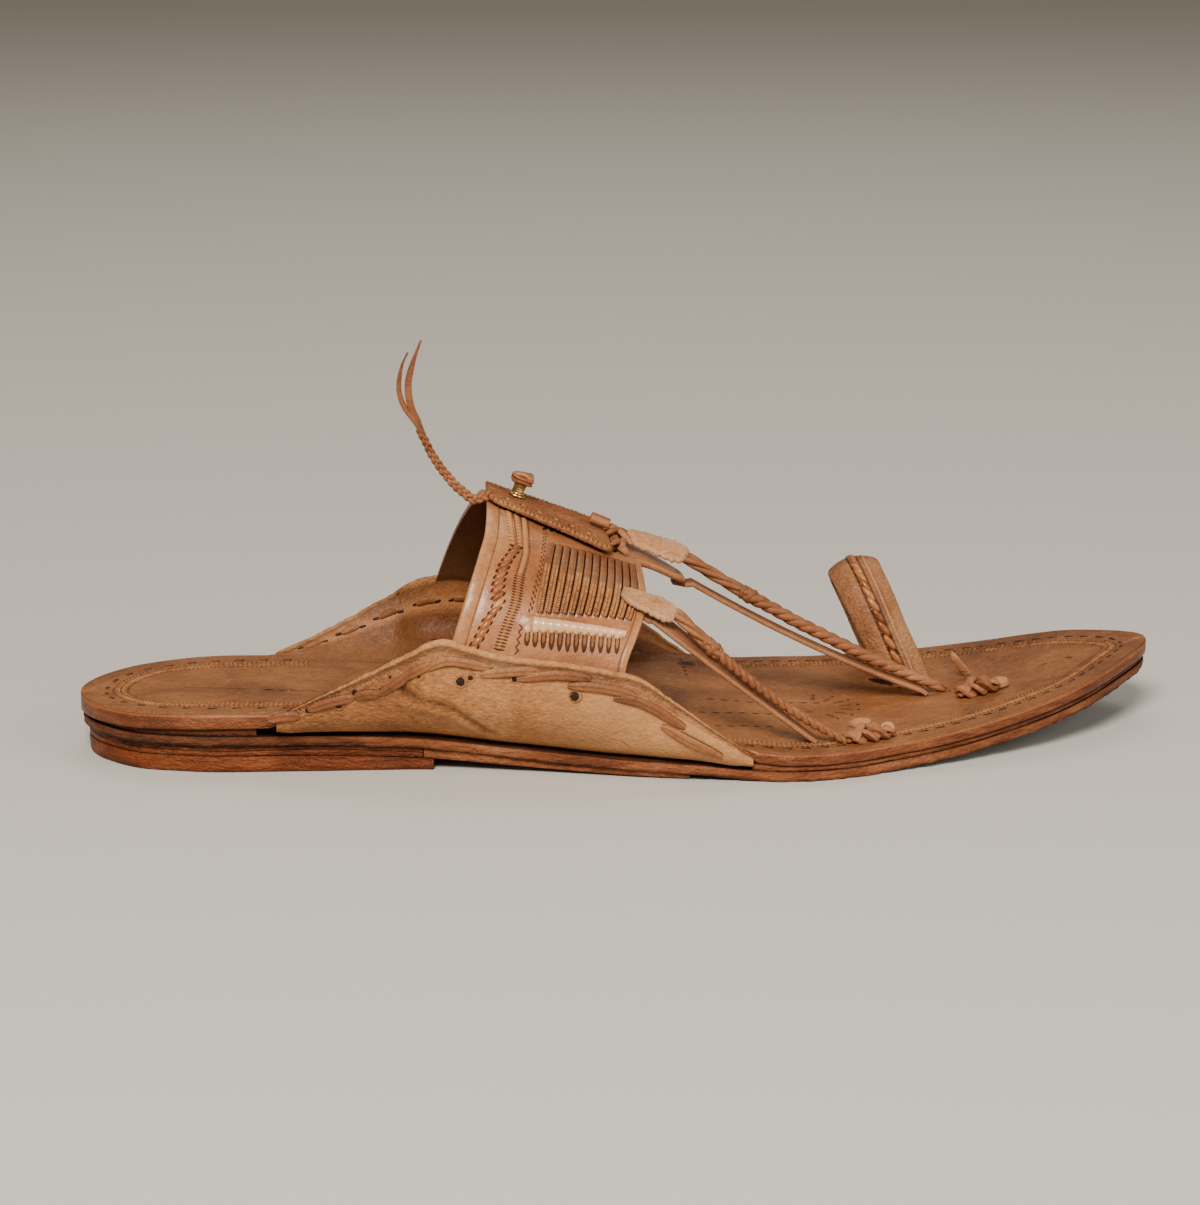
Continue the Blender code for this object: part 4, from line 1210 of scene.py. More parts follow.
rim_stitches, rope = Pile(), Pile()
for line, spacing in ((toe_rim(STITCH_INSET, 0.585), 4.8 * MM), (heel_rim(STITCH_INSET, 0.20), 6.2 * MM)):
    for spot, ahead, normal in rim_places(line, spacing):
        rim_stitches.bead(spot, ahead, normal, 2.3, 1.0, 0.2, random.uniform(-0.95, -0.7))
        rim_stitches.bead(spot + ahead * 1.1 * MM, ahead, normal, 1.3, 1.35, 0.12, -1.0)
for line in (toe_rim(10.0 * MM, 0.575), heel_rim(10.4 * MM, 0.21)):
    for spot, ahead, normal in rim_places(line, ROPE_SPACING):
        across = normal.cross(ahead)
        for way in (-1, 1):
            slant = (ahead + across * 1.1 * way).normalized()
            rope.bead(spot + across * way * 0.85 * MM, slant, normal, 2.1, 0.7, 0.4,
                      random.uniform(-0.1, 0.4), count=6)
            rope.bead(spot + (across * way * 1.95 + ahead * 0.6) * MM, across, normal, 0.8, 0.6, 0.1,
                      random.uniform(-1.0, -0.6), count=6)
        rope.bead(spot + ahead * 0.5 * MM, ahead, normal, 0.75, 0.5, 0.1, -0.85, count=6)
rim_stitches.build("rim_stitches", LACE_HIDE, "insole")
rope.build("rim_rope_line", FOOT_HIDE, "insole")


# Marks tooled into the footbed

PRESSED = 0.16
FLOWER_CENTRE = (0.673, -3.4)
FLOWER_RADIUS = 9.5

# Rows of pressed marks: both ends as share of the length and mm from the axis, then spacing, size and tone
MARK_ROWS = (
    ((0.5758, 3.4), (0.6868, 1.3), 3.4, 2.3, 0.8, -0.9),
    ((0.5617, -11), (0.6756, -7.7), 3.4, 2.3, 0.8, -0.9),
    ((0.5716, -25.2), (0.6318, -21.7), 3.4, 2.3, 0.8, -0.9),
    ((0.569, 45), (0.5686, 26), 3.4, 2.3, 0.8, -0.9),
    ((0.1654, -4.6), (0.19, -6.4), 3.4, 2.3, 0.8, -0.9),
    ((0.0951, -0.6), (0.225, -8.6), 1.5, 2.0, 0.3, -0.7),
    ((0.9196, 11.2), (0.9306, 8), 3.0, 2.2, 0.9, -0.9),
    ((0.7406, 22), (0.7679, 9.4), 3.0, 2.2, 0.9, -0.9),
    ((0.165, -5.2), (0.191, -6.6), 3.0, 2.2, 0.9, -0.9),
)

tooling = Pile()
for start, end, spacing, length, width, tone in MARK_ROWS:
    line = [Vector((along(share), y * MM, 0)) for share, y in (start, end)]
    for spot, ahead, normal in rim_places(line, spacing * MM):
        tooling.bead(spot, ahead, normal, length, width, PRESSED, tone)
for petal in range(7):
    angle = radians(-65 + petal * 24)
    out = Vector((cos(angle), sin(angle), 0))
    centre = Vector((along(FLOWER_CENTRE[0]), FLOWER_CENTRE[1] * MM, 0)) + out * FLOWER_RADIUS * MM
    for shift, length, width, height, tone in ((0.0, 4.4, 1.5, 0.22, -0.55), (3.4, 1.0, 1.0, PRESSED, -0.95)):
        place = centre + out * shift * MM
        spot, normal = on_insole(place.x, place.y)
        tooling.bead(spot, on_surface(out, normal), normal, length, width, height, tone)
tooling.build("footbed_tooling", FOOT_HIDE, "insole")


# Ear covers with their laces

COVER_ROWS = 190
COVER_TURNS = (0.0, 0.1, 0.2, *(0.26 + 0.03 * i for i in range(22)), 0.915, 0.94, 0.96, 0.975, 0.99, 1.0)
CREASE_SCALE = (SOLE_LENGTH, 38 * MM)
CREASE_DEPTH = 0.75 * MM
CREASE_SWELL = 0.5 * MM
HEM_DEPTH = 0.55 * MM
COVER_REAR_EASE = 0.012
COVER_FRONT_EASE = 0.02

# Worn crease of an ear cover: share of the length, share of the way up
CREASE = (
    (0.288, 0.80),
    (0.2935, 0.71),
    (0.302, 0.65),
    (0.318, 0.60),
    (0.335, 0.56),
    (0.352, 0.47),
    (0.370, 0.34),
)


def cover_line(share, side, turns):
    """Middle of an ear's outer leather, from its tuck under the insole up to the ear's top."""
    rise = ear_share(share, side)
    low = outsole_top(share) + GAP + COVER / 2
    wing_low = insole_under(share) + insole_thickness(share) / 2
    wing_y, high = wing_line(share, side, (0.98, 1.0))[-1]
    tip = mix(insole_thickness(share), WING, min(1.0, rise / WING_THINNED))
    parted = BAND_WALL + 2 * EAR_GAP - GAP
    top = wing_y + (tip + COVER) / 2 + GAP + parted * read(BAND_IN_EAR, share)
    high += COVER / 2
    edge = reach(share, side)
    bulge = edge + COVER + 2 * GAP
    offset = BAND_WALL / 2 + EAR_GAP + COVER / 2
    controls = ((edge - TUCK, low), (bulge, low), (top + COVER, mix(low, high, COVER_SHOULDER)), (top, high))
    points = []
    for t in turns:
        weights = ((1 - t) ** 3, 3 * t * (1 - t) ** 2, 3 * t * t * (1 - t), t ** 3)
        y = sum(weight * point[0] for weight, point in zip(weights, controls))
        z = sum(weight * point[1] for weight, point in zip(weights, controls))
        points.append((lift_to_band(share, y, z, wing_low, high, offset), z))
    return points


def cover_spot(share, t, side, lift=0.0):
    """Point and normal on the outer face of an ear cover."""
    before, here, after = cover_line(share, side, (max(t - 0.01, 0), min(t, 1), min(t + 0.01, 1)))
    ahead = Vector((0, side * (after[0] - before[0]), after[1] - before[1])).normalized()
    step = 0.003
    x0, x1 = cover_line(share - step, side, (t,))[0], cover_line(share + step, side, (t,))[0]
    way = Vector((2 * step * SOLE_LENGTH, side * (x1[0] - x0[0]), x1[1] - x0[1])).normalized()
    normal = way.cross(ahead).normalized()
    if normal.y * side < 0:
        normal = -normal
    return Vector((along(share), side * here[0], here[1])) + normal * (COVER / 2 + lift), normal


def off_crease(share, t):
    """How far a place on an ear cover lies from its worn crease."""
    best = 1.0
    p = Vector((share * CREASE_SCALE[0], t * CREASE_SCALE[1]))
    for (s0, t0), (s1, t1) in zip(CREASE, CREASE[1:]):
        a = Vector((s0 * CREASE_SCALE[0], t0 * CREASE_SCALE[1]))
        b = Vector((s1 * CREASE_SCALE[0], t1 * CREASE_SCALE[1]))
        part = min(max((p - a).dot(b - a) / (b - a).length_squared, 0), 1)
        best = min(best, (p - a.lerp(b, part)).length)
    return best


def bell(distance, width):
    """Bell curve, 1 where the distance is nothing."""
    return exp(-(distance / width) ** 2)


def cover_rim(x, t, side):
    """Share of the full thickness near a cover's upper rim, and how far its torn edge rises."""
    torn = wobble(Vector((x, side, 5.0)), 0.3 * MM, 0.004) + wobble(Vector((x, side, 8.0)), 0.22 * MM, 0.0011)
    rise = torn * (t - 0.95) * 20 if t > 0.95 else 0.0
    if t < 0.98:
        return 1.0, rise
    return 0.75 if t < 0.995 else 0.35, rise


def cover_tone(x, t, side, share, distance):
    """Tone of a cover's outer face: a bare pale rim, a stitched hem with painted shade in its two grooves,
    painted shade in the crease, and painted light that brightens it towards the front.
    """
    if t > 0.97:
        return 0.3 + 0.5 * noise(Vector((x * 900, side, t)))
    # The hem's two grooves are painted dark as shade, with a pale line between them.
    if 0.93 < t < 0.965:
        return 0.05 if 0.95 <= t <= 0.955 else -0.55
    if t > 0.86:
        return -0.14
    # Painted shade in the crease, and painted light that brightens the cover towards its front.
    return -0.5 * bell(distance, 0.7 * MM) + 0.5 * ramp(share, 0.37, 0.1)


def make_cover(side, name, end):
    """One ear's outer leather, with its crease and its torn upper rim."""
    rings, tones = [], []
    for share in stations(EAR_START, end, COVER_ROWS):
        line = cover_line(share, side, COVER_TURNS)
        x = along(share)
        front = smooth((end - share) / COVER_FRONT_EASE)
        ease = ramp(share, EAR_START, COVER_REAR_EASE) * front
        outer, inner = [], []
        for (y, z), (ny, nz), t in zip(line, line_normals(line), COVER_TURNS):
            rough = (wobble(Vector((x, t * 0.03, side)), 0.28 * MM, 0.009)
                     + wobble(Vector((x, t * 0.03, 3.0)), 0.1 * MM, 0.002))
            distance = off_crease(share, t)
            fold = (CREASE_SWELL * bell(distance - 2.4 * MM, 1.6 * MM)
                    - CREASE_DEPTH * bell(distance, 0.9 * MM))
            rim, rise = cover_rim(x, t, side)
            thick = COVER / 2 * rim * mix(0.35, 1.0, ease)
            y -= 2.6 * MM * (1 - front) * (0.4 + 0.6 * t)
            z -= 1.2 * MM * (1 - front) * t
            if 0.93 < t < 0.95 or 0.955 < t < 0.965:
                rough -= HEM_DEPTH
            full = thick + fold * min(1.0, t * 3) * rim + rough * 0.5
            outer.append(Vector((x, side * (y - ny * full), z - nz * full + rise)))
            inner.append(Vector((x, side * (y + ny * thick), z + nz * thick + rise)))
            tones.append(cover_tone(x, t, side, share, distance))
        rings.append(outer + inner[::-1])
        tones.extend([-0.1] * len(inner))
    dress(rings, name, COVER_HIDE, tones)


# Lace holes: share of the length, share of the way up, size
COVER_HOLES = (
    (0.2071, 0.864, 1),
    (0.2342, 0.785, 1),
    (0.2483, 0.876, 1),
    (0.2687, 0.778, 1),
    (0.2813, 0.877, 1),
    (0.3059, 0.816, 1),
    (0.3227, 0.854, 1),
    (0.3415, 0.780, 1.7),
    (0.3502, 0.819, 1),
    (0.3671, 0.896, 1),
    (0.3889, 0.866, 1),
    (0.4419, 0.793, 1.8),
)

# Laces: share of the length and share of the way up at both ends; the first is on the lateral side alone
COVER_LACES = (
    (0.1725, 0.987, 0.1991, 0.822),
    (0.2071, 0.870, 0.2479, 0.827),
    (0.2479, 0.827, 0.2687, 0.776),
    (0.2687, 0.776, 0.3157, 0.871),
    (0.3104, 0.845, 0.3667, 0.906),
    (0.3578, 0.849, 0.4115, 0.928),
    (0.3903, 0.867, 0.4553, 0.925),
    (0.4350, 0.856, 0.4956, 0.854),
    (0.4751, 0.815, 0.5382, 0.796),
    (0.5171, 0.686, 0.5706, 0.586),
)
LACE_STEPS = 14
LACE_ARCH = 0.7 * MM
LACE_SINK = 0.05 * MM
LACE_SECTION = tapered(2.5, 1.0, 12, 3, 0.2, 0.45)
LACE_LINE_SECTION = tapered(0.3, 0.22, 6, 2.2, 0.2, 0.45, lift=0.5)
# A dark sheet under each lace: painted shade beneath it.
LACE_SHADE_SECTION = tapered(2.6, 0.35, 8, 3, 0.1, 0.7, -0.05, -0.05)


def make_laces(side, name):
    """Laces and holes along the top of an ear cover."""
    laces, holes = Pile(), Pile()
    ceiling = 1.0 if side == LATERAL else 0.93
    for s0, t0, s1, t1 in COVER_LACES if side == LATERAL else COVER_LACES[1:]:
        path, ups, bed = [], [], []
        for i in range(LACE_STEPS + 1):
            q = i / LACE_STEPS
            arch = LACE_ARCH * sin(pi * q)
            height = min(mix(t0, t1, q) + 0.02 * sin(pi * q), ceiling)
            spot, normal = cover_spot(mix(s0, s1, q), height, side, arch - LACE_SINK)
            path.append(spot)
            ups.append(normal)
            bed.append(spot - normal * arch)
        laces.add(sweep(path, LACE_SECTION, ups), random.uniform(-0.15, 0.1))
        laces.add(sweep(path, LACE_LINE_SECTION, ups), -0.25)
        # Painted shade under the lace.
        laces.add(sweep(bed, LACE_SHADE_SECTION, ups), -0.6)
    for share, t, size in COVER_HOLES:
        spot, normal = cover_spot(share, t, side)
        # Each hole is a dark disc of painted shade inside a lip.
        holes.bead(spot, AHEAD, normal, 2.3 * size ** 0.5, 1.5 * size, 0.12, -1.0)
        holes.ring(spot + normal * 0.04 * MM, normal, 1.05 * MM * size ** 0.7, 0.22 * MM, -0.1)
    laces.build(name.replace("ear_cover", "ear_laces"), LACE_HIDE, name)
    holes.build(name.replace("ear_cover", "ear_holes"), COVER_HIDE, name)


make_cover(LATERAL, "ear_cover_lateral", LATERAL_EAR_END)
make_laces(LATERAL, "ear_cover_lateral")
make_cover(MEDIAL, "ear_cover_medial", MEDIAL_EAR_END)
make_laces(MEDIAL, "ear_cover_medial")

WING_STITCHES = 6
WING_STITCH_STEPS = 8
WING_STITCH_SECTION = tapered(1.9, 0.8, 10, 2.2, 0.35, 0.25)

inner_stitches = Pile()
for side in (LATERAL, MEDIAL):
    for i in range(WING_STITCHES):
        share = 0.205 + 0.036 * i
        path, ups = [], []
        for k in range(WING_STITCH_STEPS + 1):
            arch = sin(pi * k / WING_STITCH_STEPS)
            place = share + 0.017 * k / WING_STITCH_STEPS
            t = 0.875 + 0.02 * arch
            before, here, after = wing_line(place, side, (t - 0.02, t, t + 0.02))
            rising = Vector((0, side * (after[0] - before[0]), after[1] - before[1])).normalized()
            normal = AHEAD.cross(rising)
            if normal.y * side > 0:
                normal = -normal
            ups.append(normal)
            spot = Vector((along(place), side * here[0], here[1]))
            path.append(spot + normal * (WING / 2 + 0.2 * MM * arch))
        inner_stitches.add(sweep(path, WING_STITCH_SECTION, ups), -0.25)
        # A dark hole at each end of the stitch: painted shade.
        for spot, normal, way in ((path[0], ups[0], -1), (path[-1], ups[-1], 1)):
            inner_stitches.bead(spot + AHEAD * way * 0.8 * MM - normal * 0.05 * MM,
                                Vector((1, 0, 0.3)).normalized(), normal, 2.2, 0.9, 0.2, -1.0)
inner_stitches.build("wing_stitches", LACE_HIDE, "insole")


# Instep band

BAND_ROWS = 321
BAND_UNDER_POINTS = 12
BARE_COLUMNS = 7
PANEL_LOW_LINE = (30.6, 38.7)
PANEL_HIGH_LINE = (65.7, 75.1)
RIDGE_LOW_LINE = (23.6, 29.6)
RIDGE_HIGH_LINE = (29.7, 33.8)

# One strip of the panel across its width: share of the pitch, relief in mm, tone; the darkest tones paint
# shade in the slits.
STRIP_PLACES = (
    (0.0, -1.1, -1.0),
    (0.045, -1.1, -1.0),
    (0.06, 0.1, -0.3),
    (0.13, 0.3, -0.05),
    (0.5, 0.36, -0.12),
    (0.87, 0.3, -0.05),
    (0.94, 0.1, -0.3),
    (0.955, -1.1, -1.0),
)

# Rear and front hem of the band: distance from its edge in mm, relief in mm, tone; the dark tones paint shade
# in the groove.
REAR_STEPS = (
    (0.0, -0.5, 0.3),
    (0.25, -0.1, 0.3),
    (0.7, 0.0, 0.15),
    (1.6, 0.03, 0.0),
    (2.9, 0.02, 0.0),
    (3.15, -0.06, -0.2),
    (3.3, -0.2, -0.6),
    (3.45, -0.06, -0.2),
    (3.7, 0.02, 0.0),
)
FRONT_STEPS = (
    (2.3, 0.0, 0.0),
    (2.1, -0.06, -0.2),
    (1.95, -0.2, -0.6),
    (1.8, -0.06, -0.2),
    (1.5, 0.02, 0.0),
    (0.7, 0.0, 0.15),
    (0.25, -0.1, 0.3),
    (0.0, -0.5, 0.3),
)


def fold_angle(angle):
    """Angle up from the nearer side of the band."""
    return min(angle, 180 - angle)


def panel_edges(angle):
    """Rear and front share of the slit panel at an angle."""
    fold = fold_angle(angle)
    front = read(BAND_EDGES, fold, 2) - mix(2.7, 1.9, min(max((fold - 30) / 40, 0), 1)) * MM / SOLE_LENGTH
    rear = min(mix(0.4080, 0.4243, (fold - 30.6) / 35.1), 0.4272)
    return max(rear, read(BAND_EDGES, fold, 1) + 8 * MM / SOLE_LENGTH), front


def panel_share(angle, u, sideways):
    """How fully the slit panel shows at an angle and a share of its width."""
    fold = fold_angle(angle)
    low, high = mix(*PANEL_LOW_LINE, u), mix(*PANEL_HIGH_LINE, u)
    return smooth((fold - low) / sideways + 0.5) * smooth((high - fold) / sideways + 0.5)


def ridge_share(angle, u):
    """How high the polished ridge under the panel stands; the same share paints its highlight."""
    fold = fold_angle(angle)
    low, high = mix(*RIDGE_LOW_LINE, u), mix(*RIDGE_HIGH_LINE, u)
    part = (fold - low) / (high - low)
    return sin(pi * part) ** 0.8 if 0 < part < 1 else 0.0


def band_axes(share, angle, lift=0.0):
    """Point on the band's outer face, and the ways ahead, round and out of it."""
    wall = BAND_WALL / 2
    step = 0.002
    ahead = (band_point(share + step, angle, wall) - band_point(share - step, angle, wall)).normalized()
    rounding = (band_point(share, angle + 0.5, wall) - band_point(share, angle - 0.5, wall)).normalized()
    out = rounding.cross(ahead).normalized()
    spot = band_point(share, angle, wall)
    if out.dot(spot - Vector((spot.x, 0, 0.02))) < 0:
        out = -out
    return spot + out * lift, ahead, rounding, out


def panel_columns(angle, panel_rear, panel_front):
    """Share, relief and tone of the points across the slit panel."""
    fold = fold_angle(angle)
    columns = []
    for strip in range(STRIPS):
        for s, relief, tone in STRIP_PLACES:
            u = (strip + s) / STRIPS
            if relief > -1:
                cut = panel_share(angle, u, 2.2)
            else:
                cut = 0.0 if strip == 0 and s < 0.13 else panel_share(angle, u, 0.9)
            ridge = ridge_share(angle, u)
            lobed = 0.8 + 0.2 * abs(sin(pi * u * STRIPS))
            # Painted shade in the slits, and a painted highlight along the ridge.
            shade = tone * cut - (0.16 + 0.2 * ramp(fold, 46, 8)) * cut * (relief > 0) + 0.6 * ridge
            columns.append((mix(panel_rear, panel_front, u), relief * cut + 1.1 * ridge * lobed, shade))
    return columns


def band_columns(angle, rear, front):
    """Share, relief and tone of the points across the band's outer face."""
    panel_rear, panel_front = panel_edges(angle)
    columns = [(rear + step * MM / SOLE_LENGTH, relief, tone) for step, relief, tone in REAR_STEPS]
    bare_start = columns[-1][0]
    for i in range(1, BARE_COLUMNS):
        columns.append((mix(bare_start, panel_rear, i / BARE_COLUMNS), 0.0, 0.0))
    columns.extend(panel_columns(angle, panel_rear, panel_front))
    outer_front = max(front - FRONT_STEPS[0][0] * MM / SOLE_LENGTH, panel_front)
    for part in (0.0, 0.33, 0.66):
        columns.append((mix(panel_front, outer_front, part), 0.0, 0.0))
    for step, relief, tone in FRONT_STEPS:
        columns.append((max(front - step * MM / SOLE_LENGTH, panel_front), relief, tone))
    return columns


rings, tones, burnished_highlight = [], [], []
for row in range(BAND_ROWS):
    angle = mix(6, 174, row / (BAND_ROWS - 1))
    rear, front = band_edges(angle)
    ring = []
    for share, relief, tone in band_columns(angle, rear, front):
        rough = wobble(Vector((share * SOLE_LENGTH, angle * 0.001, 2.0)), 0.12 * MM, 0.012)
        ring.append(band_point(share, angle, BAND_WALL / 2 + relief * MM + rough))
        tones.append(tone)
        burnished_highlight.append(tone > 0.15 and 22 < fold_angle(angle) < 36 and relief > 0.2)
    for i in range(BAND_UNDER_POINTS + 1):
        rounded = 0.4 * MM if i in (0, BAND_UNDER_POINTS) else 0.0
        ring.append(band_point(mix(front, rear, i / BAND_UNDER_POINTS), angle, -BAND_WALL / 2 + rounded))
    # The band's inner face, painted dark as the shade inside the band.
    tones.extend([-0.86] * (BAND_UNDER_POINTS + 1))
    burnished_highlight.extend([False] * (BAND_UNDER_POINTS + 1))
    rings.append(ring)
dress(rings, "instep_band", BAND_HIDE, tones, (RIDGE_HIGHLIGHT_HIDE, burnished_highlight))

# Lines of tooling up the band: angle up from its side, share of the sole's length
LADDER = (
    (15.6, 0.3753),
    (25.5, 0.3847),
    (33, 0.3915),
    (42, 0.3951),
    (57, 0.4032),
    (78.5, 0.4050),
)
LACING = (
    (13, 0.3500),
    (19, 0.3597),
    (25, 0.3671),
    (30.5, 0.3755),
    (36, 0.3759),
    (47, 0.3832),
    (58, 0.3945),
    (78, 0.3943),
)
PANEL_EDGE_LINE = (
    (30.5, 0.4036),
    (41, 0.4099),
    (51, 0.4157),
    (59, 0.4187),
    (70, 0.4223),
    (77, 0.4240),
)
LEAF_TOPS = ((0, 23.0), (0.5, 26.4), (1, 29.1))
LEAF_LENGTHS = ((0, 3.9), (0.5, 5.6), (1, 5.0))
LEAVES = 12
WEDGES = 11
TEETH = 8
BAND_ARC = 1.12


def mirrored(angle, side):
    """The same angle on the lateral or the medial side of the band."""
    return angle if side == LATERAL else 180 - angle


def steps_up(start, end, step):
    """Angles from a start up to an end."""
    angle = start
    while angle < end:
        yield angle
        angle += step


def mark_ladder(marks, side, toward):
    """A slanting chain between two rows of pricks, from the band's foot to its ridge."""
    for angle in steps_up(15.5, 78.5, 1.12):
        share = read(LADDER, angle)
        upper = angle > 44
        for offset in (-0.0030, 0.0030):
            spot, ahead, rounding, out = band_axes(share + offset, mirrored(angle, side))
            marks.bead(spot, ahead, out, 0.8 if upper else 1.3, 0.5, 0.14, -0.8, count=6)
        spot, ahead, rounding, out = band_axes(share, mirrored(angle + 0.5, side))
        lean = (ahead + rounding * toward * (0.8 if upper else 0.15)).normalized()
        marks.bead(spot, lean, out, 1.9, 0.85, 0.36, 0.4 if upper else 0.15)
        marks.bead(spot - rounding * toward * 0.58 * MM, lean, out, 1.7, 0.36, 0.2, -0.85, count=6)


def mark_panel_edge(marks, side):
    """A zigzag of pricks behind the slit panel."""
    for index, angle in enumerate(steps_up(31.0, 76.5, 1.25)):
        aside = 0.0010 if index % 2 else -0.0010
        spot, ahead, rounding, out = band_axes(read(PANEL_EDGE_LINE, angle) + aside, mirrored(angle, side))
        marks.bead(spot, rounding, out, 1.2, 0.55, 0.18, -0.7, count=6)


def mark_lacing(marks, lozenges, side, toward):
    """Lozenges of woven leather up the band's rear, and above them a row like an ear of wheat."""
    angle = 13.8
    while angle < 79:
        spot, ahead, rounding, out = band_axes(read(LACING, angle), mirrored(angle, side))
        rounding = rounding * toward
        if angle < 56:
            lean = (rounding + ahead * 0.85).normalized()
            beside = out.cross(lean).normalized()
            # Lozenges near the ridge are painted pale as a highlight.
            tone = 0.9 if 28.5 < angle < 33 else random.uniform(-0.45, 0.25)
            lozenges.bead(spot, lean, out, 4.2, 1.8, 0.7, tone, count=12)
            # Dark hollows where the lozenges tuck in: painted shade.
            for way in (-1, 1):
                hollow = spot + (lean * 1.5 * way - beside * 0.7 * way) * MM
                marks.bead(hollow, (lean + rounding * 0.4).normalized(), out, 1.5, 0.6, 0.1, -0.95)
            angle += 2.8
        else:
            lozenges.bead(spot, rounding, out, 3.2, 1.2, 0.36, random.uniform(-0.5, -0.2))
            for way in (-1, 1):
                lean = (ahead * way + rounding * 0.35).normalized()
                chip = spot + ahead * way * 1.05 * MM
                marks.bead(chip, lean, out, 1.9, 0.85, 0.45, 0.3)
                marks.bead(chip - rounding * 1.12 * MM, lean, out, 2.0, 0.9, 0.14, -0.9)
            angle += 2.0


def mark_borders(marks, lobes, side, toward):
    """Leaves and lobes under the panel, wedges above it and teeth at its rear corner."""
    for q in shares_of(LEAVES):
        share, high, length = mix(0.4004, 0.4801, q), read(LEAF_TOPS, q), read(LEAF_LENGTHS, q)
        spot, ahead, rounding, out = band_axes(share, mirrored(high - length * 0.5, side))
        lean = (rounding * toward + ahead * 0.12).normalized()
        marks.bead(spot, lean, out, length * BAND_ARC, 1.6, 0.14, -0.85, count=10)
        marks.bead(spot + lean * 0.35 * MM, lean, out, length * BAND_ARC * 0.7, 1.0, 0.3, -0.25)
        # Lobes on the ridge, in its highlight leather and painted pale as its highlight.
        spot, ahead, rounding, out = band_axes(share, mirrored(high + 1.3, side))
        lobes.bead(spot, rounding, out, 2.6, 2.1, 0.75, 0.35)
    for q in shares_of(WEDGES):
        spot, ahead, rounding, out = band_axes(mix(0.4237, 0.4880, q), mirrored(mix(76.2, 80.0, q), side))
        marks.bead(spot, (rounding * toward + ahead * 0.5).normalized(), out, 3.4, 1.1, 0.14, -1.0)
    for tooth, q in enumerate(shares_of(TEETH)):
        spot, ahead, rounding, out = band_axes(mix(0.3952, 0.3905, q), mirrored(mix(24.5, 15.5, q), side))
        way = 1 if tooth % 2 else -1
        marks.bead(spot, (rounding + ahead * way * 0.8).normalized(), out, 1.9, 0.5, 0.14, -0.7)


def mark_strips(marks, side, toward):
    """A plaited line of small chips on the lower part of each strip."""
    for strip in range(STRIPS):
        u = (strip + 0.5) / STRIPS
        top = mix(50.0, 56.0, random.random())
        for angle in steps_up(mix(*PANEL_LOW_LINE, u) + 1.0, top, 0.98):
            share = mix(*panel_edges(angle), u)
            spot, ahead, rounding, out = band_axes(share, mirrored(angle, side), 0.42 * MM)
            for way in (-1, 1):
                slant = (ahead * way + rounding * toward * 0.9).normalized()
                chip = spot + ahead * way * 0.42 * MM
                marks.bead(chip, slant, out, 1.0, 0.5, 0.34, random.uniform(0.1, 0.6), 0.5, 6)
                marks.bead(chip - rounding * toward * 0.48 * MM, slant, out, 0.8, 0.3, 0.12, -0.8, 0.5, 6)


band_marks, lozenges, lobes = Pile(), Pile(), Pile()
for side in (LATERAL, MEDIAL):
    toward = 1 if side == LATERAL else -1
    mark_ladder(band_marks, side, toward)
    mark_panel_edge(band_marks, side)
    mark_lacing(band_marks, lozenges, side, toward)
    mark_borders(band_marks, lobes, side, toward)
    mark_strips(band_marks, side, toward)
band_marks.build("band_tooling", TOOLED_HIDE, "instep_band")
lobes.build("band_ridge_lobes", RIDGE_HIGHLIGHT_HIDE, "instep_band")
lozenges.build("band_lacing", WEAVE_HIDE, "instep_band")


# Saddle strap, stud, toggle and lashing

SADDLE_ROWS = 185
SADDLE_POINTS = 61
SADDLE_LENGTH = (SADDLE[1] - SADDLE[0]) * SOLE_LENGTH
SADDLE_PINKING = 1.15 * MM
SADDLE_STITCHES = 6


def saddle_surface(from_edge, end_gap, tooth):
    """How deep the saddle strap's face dips near its edge, and its tone there: pale at the cut edge and on
    the teeth, painted shade in the notches and in the groove inside the edge.
    """
    if from_edge < 0.35 * MM or end_gap < 0.3 * MM:
        return 0.45 * MM, 0.3
    if from_edge < 1.2 * MM:
        return (0.3 * MM, -0.6) if tooth > 0.66 else (0.0, 0.4)
    if from_edge < 1.8 * MM:
        return 0.2 * MM, -0.45
    return 0.0, 0.0


rings, tones = [], []
for row in range(SADDLE_ROWS):
    place = row / (SADDLE_ROWS - 1)
    share = mix(*SADDLE, place)
    x = along(share)
    end_gap = min(place, 1 - place) * SADDLE_LENGTH
    corner = 1 - 0.16 * (1 - min(end_gap / (2.5 * MM), 1)) ** 2
    tooth = abs((place * SADDLE_LENGTH / SADDLE_PINKING) % 1 - 0.5) * 2
    half = corner * mix(SADDLE_REAR_WIDTH, SADDLE_FRONT_WIDTH, place) / 2 + 0.3 * MM * (tooth - 0.5)
    under, upper, shade = [], [], []
    for k in range(SADDLE_POINTS):
        step = -1 + 2 * k / (SADDLE_POINTS - 1)
        y = half * step
        from_edge = half * (1 - abs(step))
        low = saddle_under(share, y)
        dip, tone = saddle_surface(from_edge, end_gap, tooth)
        rough = wobble(Vector((x, y, 1.3)), 0.25 * MM, 0.006) + wobble(Vector((x, y, 2.3)), 0.12 * MM, 0.0014)
        gape = 0.55 * MM * max(0.0, 1 - from_edge / (1.8 * MM))
        under.append(Vector((x, y, low + gape)))
        upper.append(Vector((x, y, low + SADDLE_WALL + gape * 0.4 - dip + rough)))
        shade.append(tone)
    rings.append(under + upper[::-1])
    # The strap's under face is painted dark as the shade beneath it.
    tones.extend([-0.5] * len(under) + shade[::-1])
dress(rings, "saddle_strap", SADDLE_HIDE, tones)

